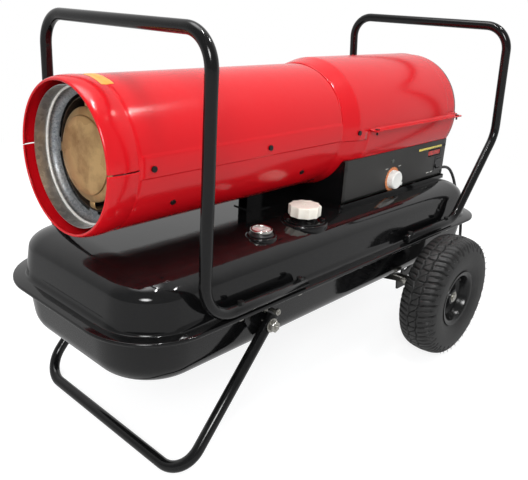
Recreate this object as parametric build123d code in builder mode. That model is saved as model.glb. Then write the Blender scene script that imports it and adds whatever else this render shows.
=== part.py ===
from build123d import *
import math
import os

# An oil-fired forced air heater on two wheels, in millimetres. The hot air leaves towards
# -X, +X runs to the rear, the control panel faces -Y and z = 0 is the floor. The origin is
# on the floor, at the middle of the heater's length and width without its cord.

# ---- Driving dimensions -----------------------------------------------------------------
# Clearances
fit_gap = 0.3  # air between neighbouring pieces
run_gap = 0.05  # radial clearance of a shaft in its bore

# Tank: two pressed pans welded at a flange
tank_length = 1029
tank_width = 420
tank_sheet = 1.5
flange_z = 254
flange_lip = 5
flange_front_corner = 118
flange_rear_corner = 87
tank_top_z = 330
upper_end_inset = 25
upper_side_inset = 24
upper_front_corner = 84
upper_rear_corner = 69
upper_draft = 9.65
shoulder_radius = 33
tank_bottom_z = 158
lower_end_inset = 19
lower_side_inset = 23
lower_front_corner = 107
lower_rear_corner = 70
lower_draft = 7.5
bottom_edge_radius = 41

# Filler, cap and fuel gauge
filler_x = -66
filler_y = -117
pad_height = 2
pad_radius = 44
neck_radius = 23
neck_wall = 2
neck_height = 21
neck_flange_radius = 39
neck_flange = 3
strainer_radius = 20
strainer_depth = 80
strainer_wall = 1
cap_radius = 30
cap_height = 20
cap_top = 6
cap_sides = 10
cap_scallop_radius = 16
cap_scallop_depth = 1.6
seal_thickness = 2
filler_hole_radius = 30
filler_bolt_circle = 34
filler_bolts = 5
filler_bolt_turn = 18
gauge_x = -186
gauge_y = -122
gauge_pad_radius = 27
gauge_radius = 19.5
gauge_window_radius = 16.5
gauge_height = 11
gauge_flange_radius = 24
gauge_stem_radius = 12
float_pivot_z = 300
float_reach = 100
float_droop = 60
float_radius = 14
float_length = 40

# Tube frame
tube_radius = 9.5
tube_wall = 1.5
tube_bend = 60
tube_corner = 50
tube_half_width = 202
front_handle_x = -386.5
handle_height = 669.8
front_handle_tail_x = -158
front_bolt_stations = (-312, -172)
rear_handle_top_z = 678
rear_handle_elbow_z = 441
rear_handle_slope = 51.3
rear_handle_lean = 5.6
rear_handle_tail_x = 166
rear_bolt_stations = (333, 180)
handle_bolt_radius = 3
handle_bolt_hole = 3.2
spot_depth = 0.8

# Front leg
leg_foot_x = -422.8
leg_slope = 49.5
foot_flat = 0.5
leg_pivot_x = -246
leg_tail = 16
leg_bolt_radius = 4
stop_radius = 2.8
stop_rise = 17
bracket_sheet = 3
bracket_front_x = -290
bracket_rear_x = -225
bracket_bottom_z = 200
bracket_flange = 16

# Wheels and axle
axle_x = 268.5
tyre_radius = 130
tyre_width = 82
wheel_centre_y = 253
bead_radius = 51.5
rim_flange_radius = 62.7
rim_width = 67.6
rim_sheet = 2.2
hub_radius = 17
hub_length = 38
hub_offset = 4
tyre_wall = 5
tread_half = 33
tread_crown = 1.6
tread_depth = 5
tread_groove_width = 5
tread_grooves = (-11, 11)
shoulder_lugs = 24
lug_gap = 8
rim_windows = 6
axle_radius = 10
journal_radius = 8
axle_bracket_y = 150
axle_bracket_sheet = 4
axle_bracket_front_x = 190
axle_bracket_rear_x = 347
axle_bracket_drop = 50
axle_bracket_foot = 35
nut_height = 7
washer = 1.6

# Barrel: sheet shells round the fire tube
barrel_z = 479
body_sheet = 1.2
rim_x = -484.5
rim_radius = 112
crease_x = -435.5
crease_radius = 115.5
nose_bulge = 117.6
nose_gap = 1.8
shell_radius = 116.5
shell_rear_x = 38
joggle_top = 8
joggle_bottom = -7
joggle_rear_x = 27
hood_front_x = 28
cone_rear_x = 70
hood_radius = 127.3
hood_crease_x = 412
hood_band_radius = 123.5
hood_rear_x = 450
lower_rear_x = 448
lip_front_x = 103
lip_rear_x = 455
lip_reach = 143
screw_stations = (-411.5, -171.5, 68.5)
liner_screw_stations = (-361.5, -61.5)
liner_screw_angle = -32
lip_screw_stations = (118, 442)
lip_screw_y = 135
screw_radius = 2
screw_head_radius = 4.5

# Outlet, fire tube and burner
liner_radius = 104
liner_sheet = 1
liner_front_x = -470
liner_rear_x = 60
bead_x = -447
bead_height = 3.2
bead_half_width = 4.5
dish_x = -434
dish_inner_radius = 90.8
dish_tabs = 4
dish_tab_span = 14
chamber_radius = 86
chamber_sheet = 1.5
chamber_front_x = -434
chamber_rear_x = 120
burner_mouth_radius = 43
dome_radius = 74
dome_height = 18
dome_rim_x = -432
dome_straps = 3
strap_width = 20
burner_front_x = 62
burner_rear_x = 150
burner_radius = 42
nozzle_block = 16

# Fan, motor and pump on one shaft
shaft_radius = 6
fan_x = 306
fan_radius = 118
fan_blades = 5
fan_hub_radius = 22
fan_hub_length = 26
motor_radius = 48
motor_front_x = 335
motor_rear_x = 405
pump_radius = 42
pump_rear_x = 436
cover_rear_x = 449
guard_x = 453
guard_wire = 2.5
guard_rings = (28, 48, 68, 88, 108)
guard_ring_width = 3
guard_spokes = 12

# Control box under the barrel
box_front_x = 49
box_rear_x = 447
box_half_width = 115
box_sheet = 1.2
box_flange = 12
tray_rim = 8
tray_margin = 6
saddle_front_x = -107
saddle_half_width = 12
dial_x = 226
dial_z = 361.5
dial_radius = 26
knob_radius = 21
knob_depth = 17
knob_pointer_reach = 29
knob_pointer_angle = -25
knob_shaft_radius = 3
lamp_x = 221
lamp_z = 401
display_x = 396.5
display_z = 397
display_width = 53
display_height = 16
switch_x = 420.5
switch_z = 369
switch_width = 23
switch_height = 24
rocker_tilt = 8
panel_screws = ((55, 406), (442, 409), (442, 346), (55, 346))

# Power cord
cord_radius = 3.5
gland_y = -100
gland_z = 347
gland_radius = 9
boot_length = 22
coil_turn_pitch = 7.5
coil_radius = 44.5
coil_half_turns = 4
coil_z = 4.5
coil_sides = 8
cord_tail = 62
plug_length = 42
plug_width = 32
plug_neck = 10
plug_taper = 14
pin_length = 19
pin_radius = 2.4

# ---- Shared planes and shapes -----------------------------------------------------------
tank_half_length = tank_length / 2
tank_half_width = tank_width / 2
tube_z = flange_z + tube_radius
axle_z = tyre_radius
pad_z = tank_top_z + pad_height
barrel_axis = Axis((0, 0, barrel_z), (-1, 0, 0))
sides = (-1, 1)


def barrel_plane(angle):
    """Plane through the barrel's axis: its x runs rearward and its y outward at this
    angle, counted upward from the control panel's side."""
    turn = math.radians(angle)
    return Plane(
        origin=(0, 0, barrel_z),
        x_dir=(1, 0, 0),
        z_dir=(0, -math.sin(turn), -math.cos(turn)),
    )


def barrel_station(x, radius, angle):
    """Plane on the barrel's surface that faces straight outward."""
    turn = math.radians(angle)
    out = (0, -math.cos(turn), math.sin(turn))
    origin = (x, radius * out[1], barrel_z + radius * out[2])
    return Plane(origin=origin, x_dir=(1, 0, 0), z_dir=out)


def cross_plane(x):
    """Plane square to the barrel's axis, facing the rear: x towards +Y, y towards +Z."""
    return Plane(origin=(x, 0, barrel_z), x_dir=(0, 1, 0), z_dir=(1, 0, 0))


def turned_sheet(wall, sheet, start, span):
    """Thin wall turned about the barrel's axis; its outer face runs through wall, a list
    of (x, radius) points."""
    inner = [(x, radius - sheet) for x, radius in reversed(wall)]
    with BuildSketch(barrel_plane(start)) as section:
        with BuildLine():
            Polyline(*wall, *inner, close=True)
        make_face()
    with BuildPart() as turned:
        revolve(section.sketch, axis=barrel_axis, revolution_arc=span)
    return turned.part


def turned_solid(outline, start=0, span=360):
    """Solid turned about the barrel's axis from a closed outline of (x, radius) points."""
    with BuildSketch(barrel_plane(start)) as section:
        with BuildLine():
            Polyline(*outline, close=True)
        make_face()
    with BuildPart() as turned:
        revolve(section.sketch, axis=barrel_axis, revolution_arc=span)
    return turned.part


def nose_sheet(start, span):
    """The rolled front of the casing: a bulged wall from the outlet rim to the crease."""
    middle_x = rim_x + 0.55 * (crease_x - rim_x)
    with BuildSketch(barrel_plane(start)) as section:
        with BuildLine():
            outer = ThreePointArc(
                (rim_x, rim_radius), (middle_x, nose_bulge), (crease_x, crease_radius)
            )
            inner = ThreePointArc(
                (rim_x, rim_radius - body_sheet),
                (middle_x, nose_bulge - body_sheet),
                (crease_x, crease_radius - body_sheet),
            )
            Line(outer @ 0, inner @ 0)
            Line(outer @ 1, inner @ 1)
        make_face()
    with BuildPart() as nose:
        revolve(section.sketch, axis=barrel_axis, revolution_arc=span)
    return nose.part


def rounded_outline(plane, front, rear, half_width, front_corner, rear_corner):
    """Rectangle from x = front to x = rear whose front corners are rounder."""
    with BuildSketch(plane) as outline:
        with Locations(((front + rear) / 2, 0)):
            Rectangle(rear - front, 2 * half_width)
        fillet(outline.vertices().group_by(Axis.X)[0], front_corner)
        fillet(outline.vertices().group_by(Axis.X)[-1], rear_corner)
    return outline.sketch


def pan(base_z, rise, end_inset, side_inset, front_corner, rear_corner, draft, edge, skin):
    """Solid of a pressed pan, drawn in by its draft as it rises (or falls, for a negative
    rise) from base_z; skin is the depth inside the outer face at which it is taken."""
    outline = rounded_outline(
        Plane.XY.offset(base_z),
        end_inset + skin - tank_half_length,
        tank_half_length - end_inset - skin,
        tank_half_width - side_inset - skin,
        front_corner - skin,
        rear_corner - skin,
    )
    direction = (0, 0, math.copysign(1, rise))
    with BuildPart() as pressing:
        extrude(outline, amount=abs(rise), dir=direction, taper=draft)
        far_face = pressing.faces().filter_by(Axis.Z).sort_by(Axis.Z)[-1 if rise > 0 else 0]
        fillet(far_face.edges(), edge - skin)
    return pressing.part


def flange_ring(top_z, thickness, inset, width):
    """Flat ring that follows the tank's outline."""
    corners = (flange_front_corner - inset, flange_rear_corner - inset)
    outer = rounded_outline(
        Plane.XY.offset(top_z),
        inset - tank_half_length,
        tank_half_length - inset,
        tank_half_width - inset,
        *corners,
    )
    inner = rounded_outline(
        Plane.XY.offset(top_z),
        inset + width - tank_half_length,
        tank_half_length - inset - width,
        tank_half_width - inset - width,
        corners[0] - width,
        corners[1] - width,
    )
    with BuildPart() as ring:
        extrude(outer, amount=-thickness)
        extrude(inner, amount=-thickness, mode=Mode.SUBTRACT)
    return ring.part


def bent_tube(points, radii, outer_radius, wall):
    """Round tube along straight runs joined by tangent arcs."""
    with BuildPart() as tube:
        with BuildLine() as path:
            FilletPolyline(*points, radius=radii)
        start = Plane(origin=path.line @ 0, z_dir=path.line % 0)
        with BuildSketch(start):
            Circle(outer_radius)
            if wall:
                Circle(outer_radius - wall, mode=Mode.SUBTRACT)
        sweep(path=path.line)
    return tube.part


def ring_face(outer, inner):
    """Flat ring about the origin of the sketch that it is added to."""
    with BuildSketch() as face:
        Circle(outer)
        Circle(inner, mode=Mode.SUBTRACT)
    return face.sketch


def drill(plane, radius, depth):
    """Round tool that reaches depth along the plane's normal."""
    with BuildPart(plane) as tool:
        Cylinder(radius, depth, align=(Align.CENTER, Align.CENTER, Align.MIN))
    return tool.part


def hex_bar(plane, across, height):
    """Hexagonal prism, measured across its flats, raised from the plane."""
    with BuildSketch(plane) as face:
        RegularPolygon(across / 2, 6, major_radius=False)
    with BuildPart() as bar:
        extrude(face.sketch, amount=height)
    return bar.part


def pan_screw(plane, head_radius, head_height, shank_radius, shank_length):
    """Pan-head screw whose head sits on the plane and whose shank runs below it."""
    with BuildPart(plane) as screw:
        Cylinder(head_radius, head_height, align=(Align.CENTER, Align.CENTER, Align.MIN))
        Cylinder(shank_radius, shank_length, align=(Align.CENTER, Align.CENTER, Align.MAX))
    return screw.part


# Outer faces of the casing, as (x, radius)
hood_front_radius = shell_radius + fit_gap + body_sheet
skirt_radius = hood_radius - fit_gap - body_sheet
lower_wall = [
    (crease_x, crease_radius),
    (crease_x + 3, shell_radius),
    (hood_front_x, shell_radius),
    (cone_rear_x, skirt_radius),
    (lip_front_x - 4, skirt_radius),
    (lip_front_x - 1, hood_radius),
    (lower_rear_x, hood_radius),
]
hood_wall = [
    (hood_front_x, hood_front_radius),
    (cone_rear_x, hood_radius),
    (hood_crease_x, hood_radius),
    (hood_crease_x + 3, hood_band_radius),
    (hood_rear_x, hood_band_radius),
]
barrel_clear = [(x, radius + fit_gap) for x, radius in lower_wall]
barrel_tool = turned_solid(
    [(crease_x, 0), *barrel_clear, (lower_rear_x + 20, hood_radius + fit_gap),
     (lower_rear_x + 20, 0)]
)

# ---- Tank -------------------------------------------------------------------------------
flange_under_z = flange_z - tank_sheet
lower_flange_inset = tank_sheet + fit_gap
drain_x = -100
drain_radius = 8
handle_bolt_points = [
    (x, side * tube_half_width)
    for x in front_bolt_stations + rear_bolt_stations
    for side in sides
]


def upper_pan(base_z, skin):
    """The tank's upper pan, outside (skin 0) or inside."""
    return pan(
        base_z, tank_top_z - skin - base_z, upper_end_inset, upper_side_inset,
        upper_front_corner, upper_rear_corner, upper_draft, shoulder_radius, skin,
    )


def lower_pan(base_z, skin):
    """The tank's lower pan, outside (skin 0) or inside."""
    return pan(
        base_z, tank_bottom_z + skin - base_z, lower_end_inset, lower_side_inset,
        lower_front_corner, lower_rear_corner, lower_draft, bottom_edge_radius, skin,
    )


fuel_pipe_x = 196
fuel_pipe_y = 45
fuel_pipe_radius = 3

with BuildPart() as tank_upper_shell:
    add(upper_pan(flange_z, 0))
    for pad_x, pad_y, radius in (
        (filler_x, filler_y, pad_radius),
        (gauge_x, gauge_y, gauge_pad_radius),
    ):
        add(drill(Plane((pad_x, pad_y, tank_top_z - 22)), radius, 22 + pad_height))
    add(flange_ring(flange_z, tank_sheet, 0, upper_side_inset + 2))
    add(flange_ring(flange_under_z, flange_lip - tank_sheet, 0, tank_sheet))
    add(upper_pan(flange_under_z, tank_sheet), mode=Mode.SUBTRACT)
    for pad_x, pad_y, radius in (
        (filler_x, filler_y, pad_radius),
        (gauge_x, gauge_y, gauge_pad_radius),
    ):
        tool = drill(
            Plane((pad_x, pad_y, tank_top_z - 30)), radius - tank_sheet,
            30 + pad_height - tank_sheet,
        )
        add(tool, mode=Mode.SUBTRACT)
    for hole_x, hole_y, radius in (
        (filler_x, filler_y, filler_hole_radius),
        (gauge_x, gauge_y, gauge_stem_radius + fit_gap),
        (fuel_pipe_x, fuel_pipe_y, fuel_pipe_radius + fit_gap),
    ):
        add(drill(Plane((hole_x, hole_y, pad_z - 10)), radius, 20), mode=Mode.SUBTRACT)
    for bolt_x, bolt_y in handle_bolt_points:
        add(drill(Plane((bolt_x, bolt_y, flange_z - 4)), handle_bolt_hole, 8),
            mode=Mode.SUBTRACT)
tank_upper_shell.part.label = "tank_upper_shell"

with BuildPart() as tank_lower_shell:
    add(lower_pan(flange_under_z, 0))
    add(flange_ring(flange_under_z, tank_sheet, lower_flange_inset, lower_side_inset + 2))
    add(lower_pan(flange_under_z, tank_sheet), mode=Mode.SUBTRACT)
    add(drill(Plane((drain_x, 0, tank_bottom_z)), drain_radius + 5, 8))
    add(drill(Plane((drain_x, 0, tank_bottom_z - 1)), drain_radius + fit_gap, 12),
        mode=Mode.SUBTRACT)
    for bolt_x, bolt_y in handle_bolt_points:
        add(drill(Plane((bolt_x, bolt_y, flange_z - 8)), handle_bolt_hole, 8),
            mode=Mode.SUBTRACT)
tank_lower_shell.part.label = "tank_lower_shell"

with BuildPart() as drain_plug:
    add(hex_bar(Plane((drain_x, 0, tank_bottom_z - 7)), 19, 5.5))
    add(drill(Plane((drain_x, 0, tank_bottom_z - 1.5)), drain_radius + 4, 1.5))
    add(drill(Plane((drain_x, 0, tank_bottom_z)), drain_radius, 9))
drain_plug.part.label = "drain_plug"

# ---- Filler neck, strainer, cap and its seal --------------------------------------------
neck_top_z = pad_z + neck_height
neck_bore = neck_radius - neck_wall
strainer_lip = 1
cap_floor_z = neck_top_z + fit_gap + seal_thickness
cap_bottom_z = cap_floor_z + cap_top - cap_height
filler = Plane((filler_x, filler_y, 0))

with BuildPart() as filler_neck:
    add(drill(filler.offset(pad_z), neck_flange_radius, neck_flange))
    add(drill(filler.offset(pad_z - 12), neck_radius, neck_height + 12))
    add(drill(filler.offset(pad_z - 12), neck_bore, neck_height + 12), mode=Mode.SUBTRACT)
    add(drill(filler.offset(neck_top_z - strainer_lip), neck_radius - 0.8, 3),
        mode=Mode.SUBTRACT)
    with BuildSketch(filler.offset(pad_z + neck_flange)):
        with PolarLocations(filler_bolt_circle, filler_bolts, filler_bolt_turn):
            Circle(2.2)
    extrude(amount=-neck_flange, mode=Mode.SUBTRACT)
filler_neck.part.label = "filler_neck"

strainer_outer = min(strainer_radius, neck_bore - fit_gap)
with BuildPart() as filler_strainer:
    add(drill(filler.offset(neck_top_z - strainer_depth), strainer_outer, strainer_depth))
    add(drill(filler.offset(neck_top_z - strainer_lip), neck_radius - 1.1, strainer_lip))
    add(
        drill(
            filler.offset(neck_top_z - strainer_depth + strainer_wall),
            strainer_outer - strainer_wall,
            strainer_depth,
        ),
        mode=Mode.SUBTRACT,
    )
    for level in range(3):
        slot_z = neck_top_z - strainer_depth + 14 + 20 * level
        for turn in (0, 60, 120):
            slot = Plane((filler_x, filler_y, slot_z)).rotated((0, 0, turn))
            with BuildSketch(slot):
                Rectangle(2.2 * strainer_outer, 6)
            extrude(amount=12, mode=Mode.SUBTRACT)
filler_strainer.part.label = "filler_strainer"

with BuildPart() as cap_seal:
    with BuildSketch(filler.offset(neck_top_z + fit_gap)):
        Circle(neck_radius)
        Circle(neck_bore - 2, mode=Mode.SUBTRACT)
    extrude(amount=seal_thickness)
cap_seal.part.label = "cap_seal"

with BuildPart() as fuel_cap:
    with BuildSketch(filler.offset(cap_bottom_z)):
        Circle(cap_radius)
        with PolarLocations(
            cap_radius + cap_scallop_radius - cap_scallop_depth, cap_sides
        ):
            Circle(cap_scallop_radius, mode=Mode.SUBTRACT)
    extrude(amount=cap_height)
    chamfer(fuel_cap.faces().sort_by(Axis.Z)[-1].edges(), 1.2)
    add(drill(filler.offset(cap_bottom_z), neck_radius + fit_gap, cap_height - cap_top),
        mode=Mode.SUBTRACT)
fuel_cap.part.label = "fuel_cap"

# ---- Fuel gauge and its float -----------------------------------------------------------
gauge = Plane((gauge_x, gauge_y, 0))
gauge_top_z = pad_z + gauge_height
dial_top_z = pad_z + 6.5
fork_half = 3.3
fork_cheek = 2.2
pivot_radius = 2

with BuildPart() as gauge_body:
    add(drill(gauge.offset(pad_z), gauge_flange_radius, 2))
    add(drill(gauge.offset(pad_z), gauge_radius, gauge_height))
    add(drill(gauge.offset(float_pivot_z + 9), gauge_stem_radius,
              pad_z - float_pivot_z - 9))
    add(drill(gauge.offset(dial_top_z - 1), gauge_window_radius, 20), mode=Mode.SUBTRACT)
    for side in sides:
        with BuildSketch(Plane.XZ.offset(-gauge_y - side * (fork_half + fork_cheek / 2))):
            with Locations((gauge_x, float_pivot_z + 3)):
                Rectangle(12, 18)
        extrude(amount=fork_cheek / 2, both=True)
    with BuildSketch(Plane.XZ.offset(-gauge_y)):
        with Locations((gauge_x, float_pivot_z)):
            Circle(pivot_radius)
    extrude(amount=fork_half + 0.1, both=True)
gauge_body.part.label = "gauge_body"

with BuildPart() as gauge_dial:
    add(drill(gauge.offset(dial_top_z - 1), gauge_window_radius - fit_gap, 1))
    add(drill(gauge.offset(dial_top_z), 1, 2))
gauge_dial.part.label = "gauge_dial"

with BuildPart() as gauge_needle:
    with BuildSketch(gauge.offset(dial_top_z + 0.5)):
        Circle(2.6)
        with BuildLine():
            Polyline((-2, -1.4), (13, -0.5), (13, 0.5), (-2, 1.4), close=True)
        make_face()
        Circle(1 + run_gap, mode=Mode.SUBTRACT)
    extrude(amount=0.8)
gauge_needle.part.label = "gauge_needle"

with BuildPart() as gauge_lens:
    add(drill(gauge.offset(gauge_top_z - 1.8), gauge_window_radius - fit_gap, 1.2))
gauge_lens.part.label = "gauge_lens"

droop = math.radians(float_droop)
float_end = (
    gauge_x - float_reach * math.cos(droop),
    gauge_y,
    float_pivot_z - float_reach * math.sin(droop),
)
with BuildPart() as float_arm:
    with BuildSketch(Plane.XZ.offset(-gauge_y)):
        with Locations((gauge_x, float_pivot_z)):
            Circle(pivot_radius + 2)
            Circle(pivot_radius + run_gap, mode=Mode.SUBTRACT)
    extrude(amount=fork_half - fit_gap, both=True)
    arm_dir = (-math.cos(droop), 0, -math.sin(droop))
    arm_start = (
        gauge_x + (pivot_radius + 1.2) * arm_dir[0],
        gauge_y,
        float_pivot_z + (pivot_radius + 1.2) * arm_dir[2],
    )
    add(drill(Plane(origin=arm_start, z_dir=arm_dir), 1.5, float_reach - 10))
    with BuildSketch(Plane.XZ.offset(-gauge_y)):
        with Locations((float_end[0], float_end[2])):
            Circle(float_radius)
    extrude(amount=float_length / 2, both=True)
float_arm.part.label = "float_arm"

# ---- Tube handles -----------------------------------------------------------------------
front_side = [
    (front_handle_tail_x, tube_z),
    (front_handle_x, tube_z),
    (front_handle_x, handle_height),
]
slope = math.radians(rear_handle_slope)
lean = math.radians(rear_handle_lean)
elbow_turn = (math.pi / 2 + lean - slope) / 2
elbow_normal = (slope + lean - math.pi / 2) / 2
elbow_x = (
    tank_half_length - tube_radius - tube_bend
    + tube_bend / math.cos(elbow_turn) * math.cos(elbow_normal)
)
rear_side = [
    (rear_handle_tail_x, tube_z),
    (elbow_x - (rear_handle_elbow_z - tube_z) / math.tan(slope), tube_z),
    (elbow_x, rear_handle_elbow_z),
    (elbow_x - (rear_handle_top_z - rear_handle_elbow_z) * math.tan(lean),
     rear_handle_top_z),
]


def handle(side_points, bolt_stations):
    """Tube hoop: the side view's points on both sides, joined across the top; drilled and
    spot-faced for its bolts."""
    near = [(x, -tube_half_width, z) for x, z in side_points]
    far = [(x, tube_half_width, z) for x, z in reversed(side_points)]
    bends = [tube_bend] * (len(side_points) - 2)
    radii = [*bends, tube_corner, tube_corner, *bends]
    with BuildPart() as hoop:
        add(bent_tube(near + far, radii, tube_radius, tube_wall))
        for x in bolt_stations:
            for side in sides:
                bolt = Plane((x, side * tube_half_width, tube_z))
                add(drill(bolt.offset(-2 * tube_radius), handle_bolt_hole,
                          4 * tube_radius), mode=Mode.SUBTRACT)
                add(drill(bolt.offset(tube_radius - spot_depth), 7.5, 5),
                    mode=Mode.SUBTRACT)
    return hoop.part


with BuildPart() as front_handle:
    add(handle(front_side, front_bolt_stations))
front_handle.part.label = "front_handle"

with BuildPart() as rear_handle:
    add(handle(rear_side, rear_bolt_stations))
rear_handle.part.label = "rear_handle"

# ---- Front leg, its brackets and the frame's bolts --------------------------------------
leg_angle = math.radians(leg_slope)
foot_z = tube_radius - foot_flat
leg_pivot_z = foot_z + (leg_pivot_x - leg_foot_x) * math.tan(leg_angle)
leg_top = (
    leg_pivot_x + leg_tail * math.cos(leg_angle),
    leg_pivot_z + leg_tail * math.sin(leg_angle),
)
leg_side = [leg_top, (leg_foot_x, foot_z)]
stop_offset = tube_radius + stop_radius + 1.8
stop_x = leg_pivot_x + stop_rise * math.cos(leg_angle) - stop_offset * math.sin(leg_angle)
stop_z = leg_pivot_z + stop_rise * math.sin(leg_angle) + stop_offset * math.cos(leg_angle)
leg_inner_y = tube_half_width - tube_radius
bracket_y = leg_inner_y - fit_gap
bracket_top_z = flange_under_z - tank_sheet

with BuildPart() as front_leg:
    near = [(x, -tube_half_width, z) for x, z in leg_side]
    far = [(x, tube_half_width, z) for x, z in reversed(leg_side)]
    add(bent_tube(near + far, [tube_corner, tube_corner], tube_radius, tube_wall))
    with BuildSketch(Plane.XY):
        with Locations((leg_foot_x, 0)):
            Rectangle(4 * tube_radius, 2 * (tube_half_width + tube_radius))
    extrude(amount=-tube_radius, mode=Mode.SUBTRACT)
    for side in sides:
        eye = Plane(origin=(leg_pivot_x, 0, leg_pivot_z), x_dir=(1, 0, 0),
                    z_dir=(0, side, 0))
        add(drill(eye.offset(leg_inner_y - 5), leg_bolt_radius + 0.2, 40),
            mode=Mode.SUBTRACT)
        add(drill(eye.offset(tube_half_width + tube_radius - spot_depth), 9, 5),
            mode=Mode.SUBTRACT)
front_leg.part.label = "front_leg"

with BuildPart() as leg_brackets:
    for side in sides:
        face = Plane(origin=(0, side * bracket_y, 0), x_dir=(1, 0, 0), z_dir=(0, -1, 0))
        with BuildSketch(face):
            with BuildLine():
                Polyline(
                    (bracket_front_x, bracket_top_z),
                    (bracket_rear_x, bracket_top_z),
                    (bracket_rear_x, bracket_bottom_z + 14),
                    (bracket_rear_x - 16, bracket_bottom_z),
                    (bracket_front_x + 18, bracket_bottom_z),
                    (bracket_front_x, bracket_bottom_z + 30),
                    close=True,
                )
            make_face()
        extrude(amount=bracket_sheet * side)
        flange_y = side * (bracket_y - bracket_sheet + bracket_flange / 2)
        with BuildSketch(Plane.XY.offset(bracket_top_z)):
            with Locations(((bracket_front_x + bracket_rear_x) / 2, flange_y)):
                Rectangle(bracket_rear_x - bracket_front_x, bracket_flange)
        extrude(amount=-bracket_sheet)
        for x, z, radius in (
            (leg_pivot_x, leg_pivot_z, leg_bolt_radius + 0.2),
            (stop_x, stop_z, stop_radius + 0.2),
        ):
            through = Plane(origin=(x, 0, z), x_dir=(1, 0, 0), z_dir=(0, side, 0))
            add(drill(through.offset(bracket_y - 10), radius, 14), mode=Mode.SUBTRACT)
leg_brackets.part.label = "leg_brackets"

with BuildPart() as frame_bolts:
    for bolt_x, bolt_y in handle_bolt_points:
        seat = Plane((bolt_x, bolt_y, tube_z + tube_radius - spot_depth))
        under = Plane((bolt_x, bolt_y, flange_under_z - tank_sheet - 5))
        add(hex_bar(seat, 10, 4.5))
        add(drill(under.offset(-2), handle_bolt_radius, seat.origin.Z - under.origin.Z + 2))
        add(hex_bar(under, 10, 5))
    for side in sides:
        eye = Plane(origin=(leg_pivot_x, 0, leg_pivot_z), x_dir=(1, 0, 0),
                    z_dir=(0, side, 0))
        seat_y = tube_half_width + tube_radius - spot_depth
        inside_y = bracket_y - bracket_sheet
        add(drill(eye.offset(seat_y), 8.5, washer))
        add(hex_bar(eye.offset(seat_y + washer), 13, 5))
        add(drill(eye.offset(inside_y), leg_bolt_radius, seat_y - inside_y + 9))
        add(drill(eye.offset(inside_y - 1.2), 7.5, 1.2))
        stop = Plane(origin=(stop_x, 0, stop_z), x_dir=(1, 0, 0), z_dir=(0, side, 0))
        add(drill(stop.offset(inside_y - 1), stop_radius, 6))
        add(hex_bar(stop.offset(bracket_y), 9, 4))
    for index in range(filler_bolts):
        turn = math.radians(filler_bolt_turn + 360 / filler_bolts * index)
        place = Plane((
            filler_x + filler_bolt_circle * math.cos(turn),
            filler_y + filler_bolt_circle * math.sin(turn),
            pad_z + neck_flange,
        ))
        add(pan_screw(place, 4, 2.4, 1.9, neck_flange))
frame_bolts.part.label = "frame_bolts"

# ---- Axle, its brackets and the wheels --------------------------------------------------
hub_centre = wheel_centre_y - hub_offset
hub_inner_y = hub_centre - hub_length / 2
hub_outer_y = hub_centre + hub_length / 2
axle_end_y = hub_outer_y + fit_gap + washer + nut_height + 2

with BuildPart() as axle:
    with BuildSketch(Plane.XZ):
        with Locations((axle_x, axle_z)):
            Circle(axle_radius)
    extrude(amount=hub_inner_y - fit_gap, both=True)
    with BuildSketch(Plane.XZ):
        with Locations((axle_x, axle_z)):
            Circle(journal_radius)
    extrude(amount=axle_end_y, both=True)
axle.part.label = "axle"

with BuildPart() as axle_brackets:
    for side in sides:
        face = Plane(
            origin=(0, side * axle_bracket_y, 0), x_dir=(1, 0, 0), z_dir=(0, -1, 0)
        )
        with BuildSketch(face):
            with BuildLine():
                Polyline(
                    (axle_bracket_front_x, tank_bottom_z),
                    (axle_bracket_rear_x, tank_bottom_z),
                    (axle_bracket_rear_x, tank_bottom_z - 6),
                    (axle_x + 20, axle_z - 1),
                    (axle_x + 16, tank_bottom_z - axle_bracket_drop),
                    (axle_x - 16, tank_bottom_z - axle_bracket_drop),
                    (axle_x - 20, axle_z - 1),
                    (axle_bracket_front_x, tank_bottom_z - 6),
                    close=True,
                )
            make_face()
            for end in sides:
                with BuildLine():
                    Polyline(
                        (axle_x + end * 4, tank_bottom_z - 5),
                        (axle_x + end * 38, tank_bottom_z - 5),
                        (axle_x + end * 4, tank_bottom_z - 14),
                        close=True,
                    )
                make_face(mode=Mode.SUBTRACT)
            with Locations((axle_x, axle_z)):
                Circle(axle_radius + run_gap, mode=Mode.SUBTRACT)
        extrude(amount=axle_bracket_sheet * side)
        foot_y = side * (axle_bracket_y - axle_bracket_foot / 2)
        with BuildSketch(Plane.XY.offset(tank_bottom_z)):
            with Locations(((axle_bracket_front_x + axle_bracket_rear_x) / 2, foot_y)):
                Rectangle(axle_bracket_rear_x - axle_bracket_front_x, axle_bracket_foot)
        extrude(amount=-axle_bracket_sheet)
axle_brackets.part.label = "axle_brackets"

with BuildPart() as axle_nuts:
    for side in sides:
        end_face = Plane(origin=(axle_x, 0, axle_z), x_dir=(1, 0, 0), z_dir=(0, side, 0))
        seat = end_face.offset(hub_outer_y + fit_gap)
        add(drill(seat, 15, washer))
        add(hex_bar(seat.offset(washer), 22, nut_height))
        add(drill(seat.offset(-5), journal_radius + run_gap, 30), mode=Mode.SUBTRACT)
axle_nuts.part.label = "axle_nuts"


def wheel_plane(side):
    """Plane through the axle at the wheel's middle: its x points outboard on this side
    and its y away from the axle."""
    return Plane(
        origin=(axle_x, side * wheel_centre_y, axle_z), x_dir=(0, side, 0),
        z_dir=(-side, 0, 0),
    )


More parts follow.
